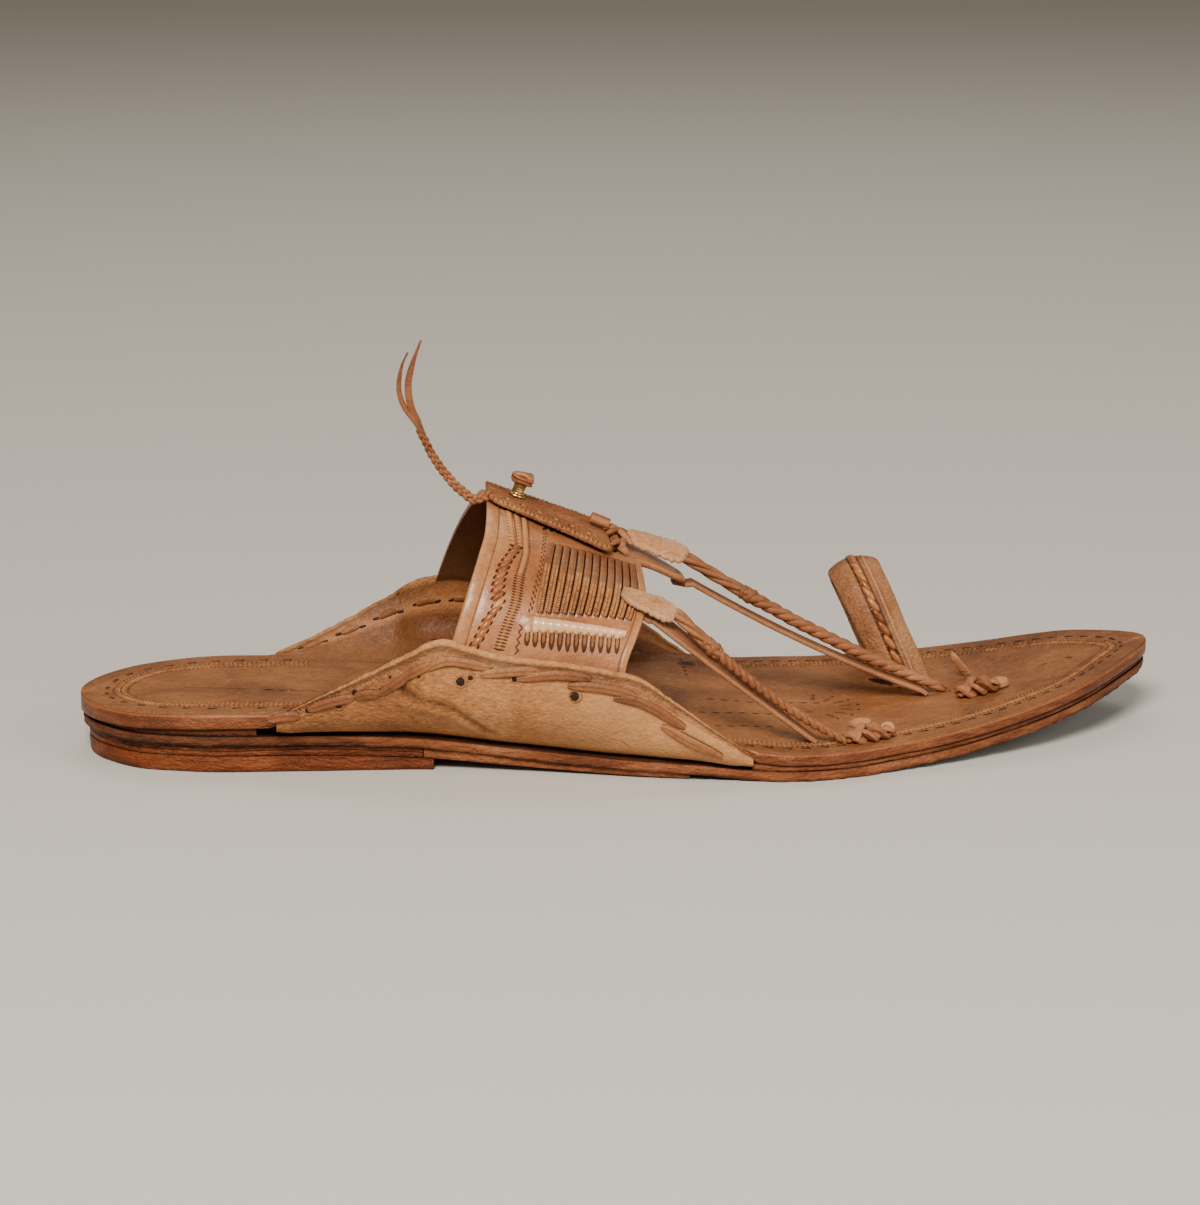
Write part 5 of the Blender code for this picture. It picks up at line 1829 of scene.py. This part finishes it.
saddle_stitches = Pile()
for side in (LATERAL, MEDIAL):
    for i in range(SADDLE_STITCHES):
        place = (i + 1.15) / 7.6
        share = mix(*SADDLE, place)
        y = side * (mix(SADDLE_REAR_WIDTH, SADDLE_FRONT_WIDTH, place) / 2 - 4.6 * MM)
        spot = Vector((along(share), y, saddle_under(share, y) + SADDLE_WALL))
        slope = Vector((1.0, side * 0.22, -0.45)).normalized()
        upright = Vector((0.4, side * 0.25, 0.9)).normalized()
        # A dark slot, painted shade, with the pale stitch in it.
        saddle_stitches.bead(spot, slope, upright, 2.6, 1.1, 0.12, -1.0)
        saddle_stitches.bead(spot + slope * 0.1 * MM, slope, upright, 1.5, 0.7, 0.4, 0.5)
saddle_stitches.build("saddle_stitches", LACE_HIDE, "saddle_strap")

# Turned profile of the stud: radius as a share of its diameter, height as a share of its height
STUD_TURNED = (
    (0.50, 0.00),
    (0.56, 0.05),
    (0.56, 0.14),
    (0.50, 0.20),
    (0.42, 0.25),
    (0.40, 0.34),
    (0.43, 0.44),
    (0.40, 0.52),
    (0.42, 0.66),
    (0.40, 0.78),
    (0.45, 0.88),
    (0.45, 0.97),
    (0.38, 1.0),
)
STUD_POINTS = 28

stud_lay = ridge_frame(STUD_AT, GAP)
rings = []
for radius, level in STUD_TURNED:
    wide = STUD_DIAMETER * radius
    ring = []
    for i in range(STUD_POINTS):
        angle = 2 * pi * i / STUD_POINTS
        ring.append(stud_lay @ Vector((wide * cos(angle), wide * sin(angle), STUD_HEIGHT * level)))
    rings.append(ring)
dress(rings, "stud", BRASS_METAL, [0.0] * len(STUD_TURNED) * STUD_POINTS)

# Layers of the stud's folded cap: lower and upper level, size, twist in degrees, tone
CAP_LAYERS = (
    (-0.5, -0.16, 0.96, 4, -0.1),
    (-0.15, 0.14, 1.0, -5, 0.1),
    (0.15, 0.46, 0.9, 8, 0.45),
)

cap = Pile()
cap_lay = ridge_frame(STUD_AT, 2 * GAP + STUD_HEIGHT + CAP_HEIGHT / 2)
for number, (low, high, size, twist, tone) in enumerate(CAP_LAYERS):
    turned = Matrix.Rotation(radians(twist), 3, "Z")
    rings = []
    for part, shrink in ((0.0, 0.88), (0.25, 1.0), (0.75, 1.0), (1.0, 0.86)):
        level = mix(low, high, part)
        ring = []
        for u, v in oval(CAP_WIDTH * 1.12 * size * shrink, CAP_WIDTH * 0.8 * size * shrink, 24, 3.2):
            bend = 0.9 * MM * noise(Vector((u * 420, v * 420, number)))
            ring.append(cap_lay @ (turned @ Vector((u, v, level * CAP_HEIGHT + bend))))
        rings.append(ring)
    cap.add(loft(rings), tone)
cap.dress("stud_cap", CORD_HIDE)

SPIRAL_POINTS = 44
SPIRAL_TURN = 4.6 * pi
TOGGLE_SHEET = TOGGLE_DIAMETER * 0.115

toggle_lay = ridge_frame(TOGGLE_AT, GAP + TOGGLE_DIAMETER / 2)
rings = []
for end, shrink in ((-0.5, 0.94), (-0.46, 1.0), (0.0, 1.0), (0.46, 1.0), (0.5, 0.94)):
    x = end * TOGGLE_LENGTH
    outer, inner = [], []
    for q in shares_of(SPIRAL_POINTS):
        angle = SPIRAL_TURN * q
        radius = TOGGLE_DIAMETER / 2 * mix(0.36, 1.0, q) * shrink
        outer.append(Vector((x, radius * cos(angle), radius * sin(angle))))
        inner.append(Vector((x, (radius - TOGGLE_SHEET) * cos(angle), (radius - TOGGLE_SHEET) * sin(angle))))
    rings.append([toggle_lay @ point for point in outer + inner[::-1]])
verts, faces = loft(rings)
del faces[-2:]
size = len(rings[0])
for base in (0, (len(rings) - 1) * size):
    for i in range(SPIRAL_POINTS - 1):
        faces.append((base + i, base + i + 1, base + size - 2 - i, base + size - 1 - i))
shown("toggle", verts, faces, CORD_HIDE, ("toggle",), [0.35] * len(verts))

# Thongs across the strap's front: shift along the sole in mm, start and end angle, width in mm, tone
CROSS_THONGS = (
    (-1.7, 79, 105, 2.3, -0.1),
    (0.4, 78, 107, 2.6, 0.25),
    (2.1, 80, 105, 2.2, 0.0),
)
# Thongs that tie them: shares of the length, angles, tone
TIE_THONGS = (
    (0.479, 0.505, 95, 86, 0.3),
    (0.482, 0.508, 86, 95, -0.15),
    (0.480, 0.506, 90, 91, 0.15),
)
LASH_LIFT = BAND_WALL / 2 + GAP + LASHING_DIAMETER / 2

lashing = Pile()
for number, (shift, start, end, width, tone) in enumerate(CROSS_THONGS):
    path = []
    for q in shares_of(25):
        phase = pi * 2 * q + number * 2.1
        share = LASHING_AT + (shift + 1.3 * sin(phase)) * MM / SOLE_LENGTH
        path.append(band_point(share, mix(start, end, q), LASH_LIFT + 0.55 * cos(phase) * MM))
    lashing.tube(path, width, 1.5, tone)
for s0, s1, a0, a1, tone in TIE_THONGS:
    path = []
    for q in shares_of(17):
        path.append(band_point(mix(s0, s1, q), mix(a0, a1, q), LASH_LIFT + (0.6 + 1.5 * sin(pi * q)) * MM))
    lashing.tube(path, 1.9, 1.2, tone, 0.12, 0.5)
lashing.dress("lashing", CORD_HIDE)


# Pads, cords and straps

PAD_ROWS = 61
PAD_POINTS = 17


def make_pad(side, name, share, angle, lean, lift, widen):
    """A ragged leaf of suede over the root of a strap, leaned and lifted off the band."""
    rear, front = pad_line(side)
    across = round_the_band(share, angle)
    outward = (front - rear).cross(across).normalized()
    if outward.z < 0:
        outward = -outward
    across, outward = across * cos(lean) + outward * sin(lean), outward * cos(lean) - across * sin(lean)
    rear = rear + outward * lift
    front = front + outward * lift + (front - rear).normalized() * 0.8 * MM
    thick = PAD_WALL / 2
    rings, tones = [], []
    for place in shares_of(PAD_ROWS):
        scallop = 0.12 * abs(sin(pi * place * 8.5)) + 0.16 * noise(Vector((place * 24, side, 0)))
        width = widen * read(PAD_SHAPE, place) * (0.94 + scallop) * min(1.0, 0.5 + 10 * min(place, 1 - place))
        half = PAD_WIDTH / 2 * width
        upper, under = [], []
        for k in range(PAD_POINTS):
            step = -1 + k / 8
            crown = 1 - abs(step) ** 2.4
            rough = (0.3 * MM * noise(Vector((place * 22, step * 5, side)))
                     + 0.14 * MM * noise(Vector((place * 70, step * 18, side))))
            base = rear.lerp(front, place) + across * half * step
            upper.append(base + outward * (thick * mix(0.12, 1.7, crown) + rough * mix(0.4, 1.0, crown)))
            under.append(base - outward * thick * mix(0.55, 1.0, crown))
            tones.append(0.45 if abs(step) > 0.85 else 0.1 * noise(Vector((place * 20, step * 6, 1))))
        # The pad's under face is painted dark as the shade beneath it.
        tones.extend([-0.4] * PAD_POINTS)
        rings.append(upper + under[::-1])
    dress(rings, name, SUEDE_HIDE, tones)


make_pad(LATERAL, "pad_lateral", LATERAL_PAD[0], LATERAL_ANGLE, 0.0, 0.0, 1.1)
make_pad(MEDIAL, "pad_medial", MEDIAL_PAD[0], MEDIAL_ANGLE, radians(26), 0.9 * MM, 1.25)

# Loops of a cord's knot: shift along the cord in mm, tilt, twist, thickness in mm
KNOT_LOOPS = (
    (-1.2, 0.5, 0.1, 1.05 * 0.78),
    (0.1, -0.5, 0.3, 1.05 * 0.90),
    (1.3, 0.45, -0.2, 1.05 * 1.02),
)
LOOSE_PITCH = 26 * MM
LATERAL_PITCH = 7.2 * MM
MEDIAL_PITCH = 10.6 * MM
STRAP_ROWS = 84
KNOT_PLACE = 0.29
KNOT_RADIUS = BRAID_DIAMETER * 0.36
CORD_TUCK = 5.5 * MM
STRAP_TUCK = 3.5 * MM

# Section of a flat strap: shares of its half width and half thickness, tone; the dark tones paint shade in
# the two grooves along its face.
STRAP_SECTION = (
    (-1, -0.5, 0.4),
    (-0.93, -0.95, 0.1),
    (-0.5, -1, 0),
    (0, -1, 0),
    (0.5, -1, 0),
    (0.93, -0.95, 0.1),
    (1, -0.5, 0.4),
    (1, 0.5, 0.4),
    (0.93, 0.95, 0.1),
    (0.86, 0.98, 0),
    (0.78, 0.82, -0.4),
    (0.7, 1, 0),
    (0.3, 1.04, 0),
    (0, 1.05, 0),
    (-0.3, 1.04, 0),
    (-0.7, 1, 0),
    (-0.78, 0.82, -0.4),
    (-0.86, 0.98, 0),
    (-0.93, 0.95, 0.1),
    (-1, 0.5, 0.4),
)


def cord_radius(place):
    """Radius of a plaited cord along its length."""
    return BRAID_DIAMETER / 2 * min(read(BRAID_SHAPE, place), 1.05) * 1.06


def make_cord(side, name, foot, sag, count, loose_end):
    """A plaited cord with its knot, twisted loosely up to the knot and plaited beyond it."""
    rear, front = pad_line(side)
    way = (front - rear).normalized()
    start = front + way * (GAP + BRAID_DIAMETER * 0.3)
    end = on_footbed(*foot, side, GAP + BRAID_DIAMETER / 2 * BRAID_SHAPE[-1][1])
    tucked = start - way * CORD_TUCK + UP * 0.3 * MM
    path = spread([tucked, start.lerp(tucked, 0.3)] + sagging(start, end, sag)
                  + [end + Vector((1.6, 0, -1.6)) * MM], count)
    split = int(len(path) * loose_end)
    cord = Pile()
    cord.plait(path[:split + 4], UP, lambda q: cord_radius(q * loose_end), LOOSE_PITCH,
               0.1, 4, True, 0.46, 0.5)
    if side == LATERAL:
        cord.plait(path[split:], UP, lambda q: cord_radius(mix(loose_end, 1, q)), LATERAL_PITCH, 0.05)
    else:
        cord.plait(path[split:], UP, lambda q: cord_radius(mix(loose_end, 1, q)) * 1.04, MEDIAL_PITCH,
                   0.1, 3, True, 0.62, 0.38)
    middle = int(KNOT_PLACE * (len(path) - 1))
    ahead, across, lift = carried_frames(path, UP)[middle]
    for shift, tilt, twist, thick in KNOT_LOOPS:
        normal = (ahead + across * tilt + lift * twist).normalized()
        cord.ring(path[middle] + ahead * shift * MM, normal, KNOT_RADIUS, thick * MM, 0.05, 18, 8)
    cord.dress(name, CORD_HIDE)


def make_strap(side, name, foot, sag, angle, drop):
    """The flat strap that hangs under a plaited cord."""
    root_share = band_edges(angle)[1]
    root = band_point(root_share, angle)
    end = on_footbed(*foot, side, GAP + STRAP_WALL / 2)
    way = (end - root).normalized()
    start = root + way * (GAP + STRAP_WALL)
    hidden = root - way * STRAP_TUCK - UP * (BAND_WALL * drop)
    root_side = round_the_band(root_share, angle)
    line = spread([hidden, root.lerp(start, 0.5) - UP * 0.9 * MM] + sagging(start, end, sag)
                  + [end + Vector((1.2, 0, -0.9)) * MM], STRAP_ROWS)
    rings, tones = [], []
    for i, point in enumerate(line):
        place = i / (len(line) - 1)
        across = root_side.lerp(ACROSS, place).normalized()
        normal = across.cross(way_at(line, i)).normalized()
        narrow = 1.0 + 0.05 * noise(Vector((place * 12, side, 2))) - 0.1 * smooth(place * 4 - 3)
        ring = []
        for u, v, tone in STRAP_SECTION:
            ring.append(point + across * u * STRAP_WIDTH / 2 * narrow + normal * v * STRAP_WALL * 0.36)
            tones.append(tone)
        rings.append(ring)
    dress(rings, name, STRAP_HIDE, tones)


make_cord(LATERAL, "braid_lateral", LATERAL_BRAID_END, LATERAL_SAG, 190, 0.33)
make_strap(LATERAL, "strap_lateral", LATERAL_STRAP_END, LATERAL_STRAP_SAG, LATERAL_ANGLE, 0.5)
make_cord(MEDIAL, "braid_medial", MEDIAL_BRAID_END, MEDIAL_SAG, 280, 0.27)
make_strap(MEDIAL, "strap_medial", MEDIAL_STRAP_END, MEDIAL_STRAP_SAG, PRONG_ANGLE, 0.9)


# Toe loop with its woven strip

LOOP_ROWS = 161
DRESSED_CROWN = 2.5 * MM
WEAVE_STEPS = 21
centre_y = LOOP_CENTRE * reach(LOOP_AT, MEDIAL)
loop_base = footbed(LOOP_AT + LOOP_WIDTH / 2 / SOLE_LENGTH) + GAP

# Section of the toe loop: shares of its half width and half thickness, tone; the dark tones paint shade in
# the dips along its face.
LOOP_SECTION = (
    (-0.97, -0.8, 0.3),
    (-0.9, -1, 0),
    (-0.5, -1, 0),
    (0, -1, 0),
    (0.5, -1, 0),
    (0.9, -1, 0),
    (0.97, -0.8, 0.3),
    (1.0, -0.2, 0.35),
    (1.0, 0.4, 0.35),
    (0.97, 0.85, 0.35),
    (0.9, 1.05, 0.2),
    (0.75, 1, 0.15),
    (0.62, 1, 0.15),
    (0.5, 0.95, -0.1),
    (0.44, 1.15, 0.45),
    (0.39, 1.15, 0.45),
    (0.34, 0.9, -0.3),
    (0.27, 1, 0.1),
    (0.19, 0.8, -0.7),
    (-0.19, 0.8, -0.7),
    (-0.25, 1, 0.1),
    (-0.5, 1, 0),
    (-0.7, 1, 0),
    (-0.9, 1.05, 0.05),
    (-0.97, 0.85, 0.3),
    (-1.0, 0.4, 0.4),
    (-1.0, -0.2, 0.4),
)


def loop_spot(q):
    """Middle of the toe loop at a share of its length."""
    angle = pi * q
    y = centre_y - LOOP_SPAN / 2 * copysign(abs(cos(angle)) ** 0.8, cos(angle))
    rise = sin(angle) ** 0.8 if 0.001 < q < 0.999 else 0.0
    return Vector((along(LOOP_AT) - LOOP_LEAN * rise, y, loop_base + LOOP_HEIGHT * rise))


def loop_axes(q):
    """Ways along the loop, across it and out of it."""
    ahead = (loop_spot(min(q + 0.01, 1)) - loop_spot(max(q - 0.01, 0))).normalized()
    tilt = radians(LOOP_TILT) * sin(pi * q) ** 2
    across = Vector((cos(tilt), 0, sin(tilt)))
    return ahead, across, across.cross(ahead).normalized()


rings, tones = [], []
for q in shares_of(LOOP_ROWS):
    spot = loop_spot(q)
    ahead, across, out = loop_axes(q)
    ring = []
    for u, v, tone in LOOP_SECTION:
        crown = DRESSED_CROWN * (1 - abs(u) ** 2.2)
        ragged = (1 + 0.035 * noise(Vector((q * 9, copysign(1, u), 4)))
                  + 0.012 * noise(Vector((q * 60, copysign(1, u), 4))))
        rough = wobble(Vector((u * 0.007, q * 0.07, 6.0)), 0.2 * MM, 0.004)
        ring.append(spot + across * u * LOOP_WIDTH / 2 * ragged + out * (v * LOOP_WALL / 2 + crown + rough))
        tones.append(tone)
    rings.append(ring)
dress(rings, "toe_loop", LOOP_HIDE, tones)

weave = Pile()
for step in shares_of(WEAVE_STEPS):
    here = mix(0.05, 0.95, step)
    ahead, across, out = loop_axes(here)
    centre = loop_spot(here) + out * (LOOP_WALL / 2 * 0.85 + DRESSED_CROWN * 0.985)
    long_way = (ahead - across * 0.3).normalized()
    weave.bead(centre, long_way, out, 5.4, 1.9, 0.75, random.uniform(-0.25, 0.5), count=12)
    # Dark hollows beside each lozenge: painted shade.
    for way in (-1, 1):
        hollow = centre + (ahead * 1.9 * way + across * 0.95 * way) * MM
        weave.bead(hollow, ahead, out, 2.2, 0.7, 0.1, -0.95)
weave.build("toe_loop_weave", WEAVE_HIDE, "toe_loop")


# Knots, tab and the holes that the cords go into

KNOT_STEPS = 60
KNOT_TONES = (0.3, -0.05, 0.12)
KNOT_END_LIFT = 0.8 * MM


def flat_knot(name, spot, ends):
    """A flat plaited knot on the footbed; its ends have two places in mm from its line, and their rise."""
    rear, front, y_share = spot
    knot = Pile()
    path = [on_footbed(mix(rear, front, q), y_share, LATERAL, GAP + KNOT_HEIGHT * 0.42)
            for q in shares_of(KNOT_STEPS + 1)]
    frames = carried_frames(path, UP)
    for strand, tone in enumerate(KNOT_TONES):
        line = []
        for i, (ahead, across, up) in enumerate(frames):
            q = i / KNOT_STEPS
            width = KNOT_WIDTH / 2 * (0.36 + 0.64 * sin(pi * mix(0.06, 0.94, q)))
            phase = 2 * pi * (q * 1.25 + strand / 3 + 0.03 * noise(Vector((q * 5, strand, LATERAL))))
            line.append(path[i] + across * width * 0.62 * sin(phase)
                        + up * KNOT_HEIGHT * 0.26 * sin(2 * phase))
        knot.tube(line, 3.1, 1.5, tone, square=3)
    for start, end, rise in ends:
        a, b = (on_footbed(mix(rear, front, place), y_share, LATERAL, GAP + KNOT_END_LIFT) + ACROSS * y * MM
                for place, y in (start, end))
        knot.tube(spline([a, (a + b) / 2 + UP * rise * MM, b], 21), 2.3, 1.2, 0.2, 0.15, square=3)
    knot.dress(name, CORD_HIDE)


flat_knot("side_knot", SIDE_KNOT, (((0.2, -3.4), (0.55, 3.6), 3.0), ((0.75, -3.0), (0.35, 3.4), 2.6)))
flat_knot("front_knot", FRONT_KNOT, (((0.15, -3.2), (0.6, 3.4), 3.0), ((0.8, -2.6), (0.45, 3.2), 2.6)))

# Pale cut ends: place on the footbed and lift in mm, way, normal, length, width and height in mm, tone, depth
KNOT_ENDS = (
    ((0.7265, 0.79, 1.9), (0.9, 0.1, 0.3), (-0.2, -0.75, 0.6), (4.4, 3.8, 0.8, 0.8, 1.3)),
    ((0.8475, 0.17, 1.9), (1, 0.25, 0.1), (-0.1, -0.3, 0.94), (6.4, 4.0, 0.8, 0.65, 1.1)),
    ((0.7085, 0.52, 1.0), (1, -0.25, 0.05), (0, -0.45, 0.89), (6.2, 3.2, 0.7, 0.55, 0.9)),
)

knot_ends = Pile()
for (share, y_share, lift), way, normal, bead in KNOT_ENDS:
    spot = on_footbed(share, y_share, LATERAL, lift * MM)
    knot_ends.bead(spot, Vector(way).normalized(), Vector(normal).normalized(), *bead, 16)
knot_ends.build("knot_ends", CORD_HIDE, "side_knot")

TAB_ROWS = 31

foot = on_footbed(*TAB_FOOT, MEDIAL, GAP)
lean = Vector((-0.6, 0.0, 0.8))
broad = Vector((0.72, -0.42, 0.54)).normalized()
flat_way = broad.cross(lean).normalized()
rings, tones = [], []
for q in shares_of(TAB_ROWS):
    point = foot + lean * TAB_LENGTH * q + flat_way * 0.5 * MM * sin(pi * q)
    ring = []
    for u, v in oval(TAB_WIDTH * read(TAB_SHAPE, q), TAB_WALL * 0.8, 12, 3):
        ring.append(point + broad * u + flat_way * v)
        tones.append(0.6 if q > 0.75 else 0.35)
    rings.append(ring)
dress(rings, "toe_tab", CORD_HIDE, tones)

# Round holes in the footbed: share of the length, mm from the axis, radius in mm; each is a dark disc of
# painted shade in a lip.
ROUND_HOLES = (
    (0.8011, 1.5, 1.6),
    (0.8011, 4.6, 1.1),
    (0.5724, 38.7, 1.9),
    (0.9008, 8.9, 0.6),
    (0.190, -6.4, 0.7),
)

footbed_holes = Pile()
for share, y, radius in ROUND_HOLES:
    spot, normal = on_insole(along(share), y * MM)
    footbed_holes.bead(spot, AHEAD, normal, 2.2 * radius, 2 * radius, 0.1, -1.0, count=14)
    footbed_holes.ring(spot, normal, radius * 1.1 * MM, 0.28 * MM, -0.3)
# A dark slot where the toe loop's near leg goes in: painted shadow under the strap and shade in the slit.
slot_start = Vector((along(0.7412), 23.0 * MM, 0))
slot_end = Vector((along(0.7604), 14.5 * MM, 0))
slot_middle = (slot_start + slot_end) / 2
spot, normal = on_insole(slot_middle.x, slot_middle.y)
slot_way = on_surface((slot_end - slot_start).normalized(), normal)
footbed_holes.bead(spot, slot_way, normal, 10.0, 3.4, 0.12, -1.0, count=16)
footbed_holes.build("footbed_holes", FOOT_HIDE, "insole")


# Plaited tail with its split strips

TAIL_POINTS = 120
TAIL_PITCH = 5.4 * MM
SPLIT_POINTS = 60

# Split strips, as shares of the tail's rise: back from its root, across and up
SPLIT_REAR = (
    (0.385, 0.02, 0.40),
    (0.425, 0.03, 0.48),
    (0.505, 0.04, 0.60),
    (0.535, 0.04, 0.72),
    (0.515, 0.03, 0.86),
    (0.475, 0.03, 0.95),
)
SPLIT_FRONT = (
    (0.38, 0.04, 0.41),
    (0.415, 0.04, 0.50),
    (0.46, 0.03, 0.60),
    (0.475, 0.03, 0.74),
    (0.445, 0.02, 0.88),
    (0.39, 0.02, 1.03),
)

tail_side = -TAIL_OFF_CENTRE * SADDLE_REAR_WIDTH
tail_root = Vector((along(SADDLE[0]) - GAP - TAIL_DIAMETER * 0.4, tail_side,
                    saddle_under(SADDLE[0], tail_side) + SADDLE_WALL / 2))


def tail_points(shares):
    """Places of a route given as shares of the tail's rise."""
    return [tail_root + TAIL_RISE * Vector((-back, across, up)) for back, across, up in shares]


def split_section(width):
    """Section of a split strip that swells from its root and thins to its end."""
    def section(q):
        swell = 0.62 + 0.38 * sin(pi * min(q * 1.15, 1.0))
        return oval(width * MM * swell * mix(1.0, 0.45, smooth(q * 3 - 2)), TAIL_STRIP_WALL * 0.62, 12, 3)

    return section


tail = Pile()
route = tail_points(TAIL_ROUTE)
route.insert(0, route[0] + Vector((2.4 * MM, 0.4 * MM, 0.6 * MM)))
tail.plait(spline(route, TAIL_POINTS), ACROSS, lambda q: TAIL_DIAMETER / 2 * mix(0.86, 0.64, q),
           TAIL_PITCH, 0.0)
for shares, width, sway in ((SPLIT_REAR, 1.45, 0.5), (SPLIT_FRONT, 1.9, -0.4)):
    path = spline(tail_points(shares), SPLIT_POINTS)
    ups = [Vector((0.35 * sin(sway * 3 * q), -1.0, 0.1)).normalized() for q in shares_of(SPLIT_POINTS)]
    tail.add(sweep(path, split_section(width), ups), -0.05)
tail.dress("plaited_tail", CORD_HIDE)


# Floor, light and camera

FLOOR_HALF = 12.0
FLOOR_COLOUR = (0.62, 0.60, 0.56, 1.0)
FLOOR_DROP = 0.0002
LAMP_AIM = Vector((0, 0, 0.03))
WORLD_COLOUR = (1.0, 0.85, 0.66, 1.0)
WORLD_STRENGTH = 0.18
CAMERA_PLACE = (-0.09025, -0.95717, 0.26645)
CAMERA_AIM = Vector((-0.0055, 0.0115, 0.033))
CAMERA_LENS = 111.7
SENSOR_WIDTH = 36.0


def pale_floor():
    """A plain pale studio floor."""
    mesh = bpy.data.meshes.new("studio_floor")
    corners = [(x * FLOOR_HALF, y * FLOOR_HALF, 0) for x, y in ((-1, -1), (1, -1), (1, 1), (-1, 1))]
    mesh.from_pydata(corners, [], [(0, 1, 2, 3)])
    floor_piece = bpy.data.objects.new("studio_floor", mesh)
    finish = bpy.data.materials.new("studio_floor")
    finish.use_nodes = True
    shader = finish.node_tree.nodes["Principled BSDF"]
    shader.inputs["Base Color"].default_value = FLOOR_COLOUR
    shader.inputs["Roughness"].default_value = 0.9
    mesh.materials.append(finish)
    bpy.context.scene.collection.objects.link(floor_piece)
    floor_piece.location.z = -FLOOR_DROP


def soft_lamp(name, place, size, power, colour):
    """A large soft lamp that faces the sandal."""
    lamp = bpy.data.lights.new(name, "AREA")
    lamp.shape = "DISK"
    lamp.size = size
    lamp.energy = power
    lamp.color = colour
    item = bpy.data.objects.new(name, lamp)
    item.location = place
    item.rotation_euler = (LAMP_AIM - Vector(place)).to_track_quat("-Z", "Y").to_euler()
    bpy.context.scene.collection.objects.link(item)


pale_floor()
soft_lamp("key_lamp", (-0.35, -1.35, 1.25), 0.7, 46.0, (1.0, 0.93, 0.84))
soft_lamp("fill_lamp", (1.3, -0.9, 0.7), 1.2, 11.0, (1.0, 0.96, 0.9))
soft_lamp("top_lamp", (0.1, 1.0, 1.5), 1.2, 7.0, (1.0, 0.96, 0.9))
world = bpy.data.worlds.new("studio_world")
bpy.context.scene.world = world
world.use_nodes = True
world.node_tree.nodes["Background"].inputs["Color"].default_value = WORLD_COLOUR
world.node_tree.nodes["Background"].inputs["Strength"].default_value = WORLD_STRENGTH

camera_data = bpy.data.cameras.new("photo_camera")
camera_data.lens = CAMERA_LENS
camera_data.sensor_width = SENSOR_WIDTH
camera_data.clip_start = 0.01
camera = bpy.data.objects.new("photo_camera", camera_data)
camera.location = CAMERA_PLACE
camera.rotation_euler = (CAMERA_AIM - camera.location).to_track_quat("-Z", "Y").to_euler()
bpy.context.scene.collection.objects.link(camera)
bpy.context.scene.camera = camera
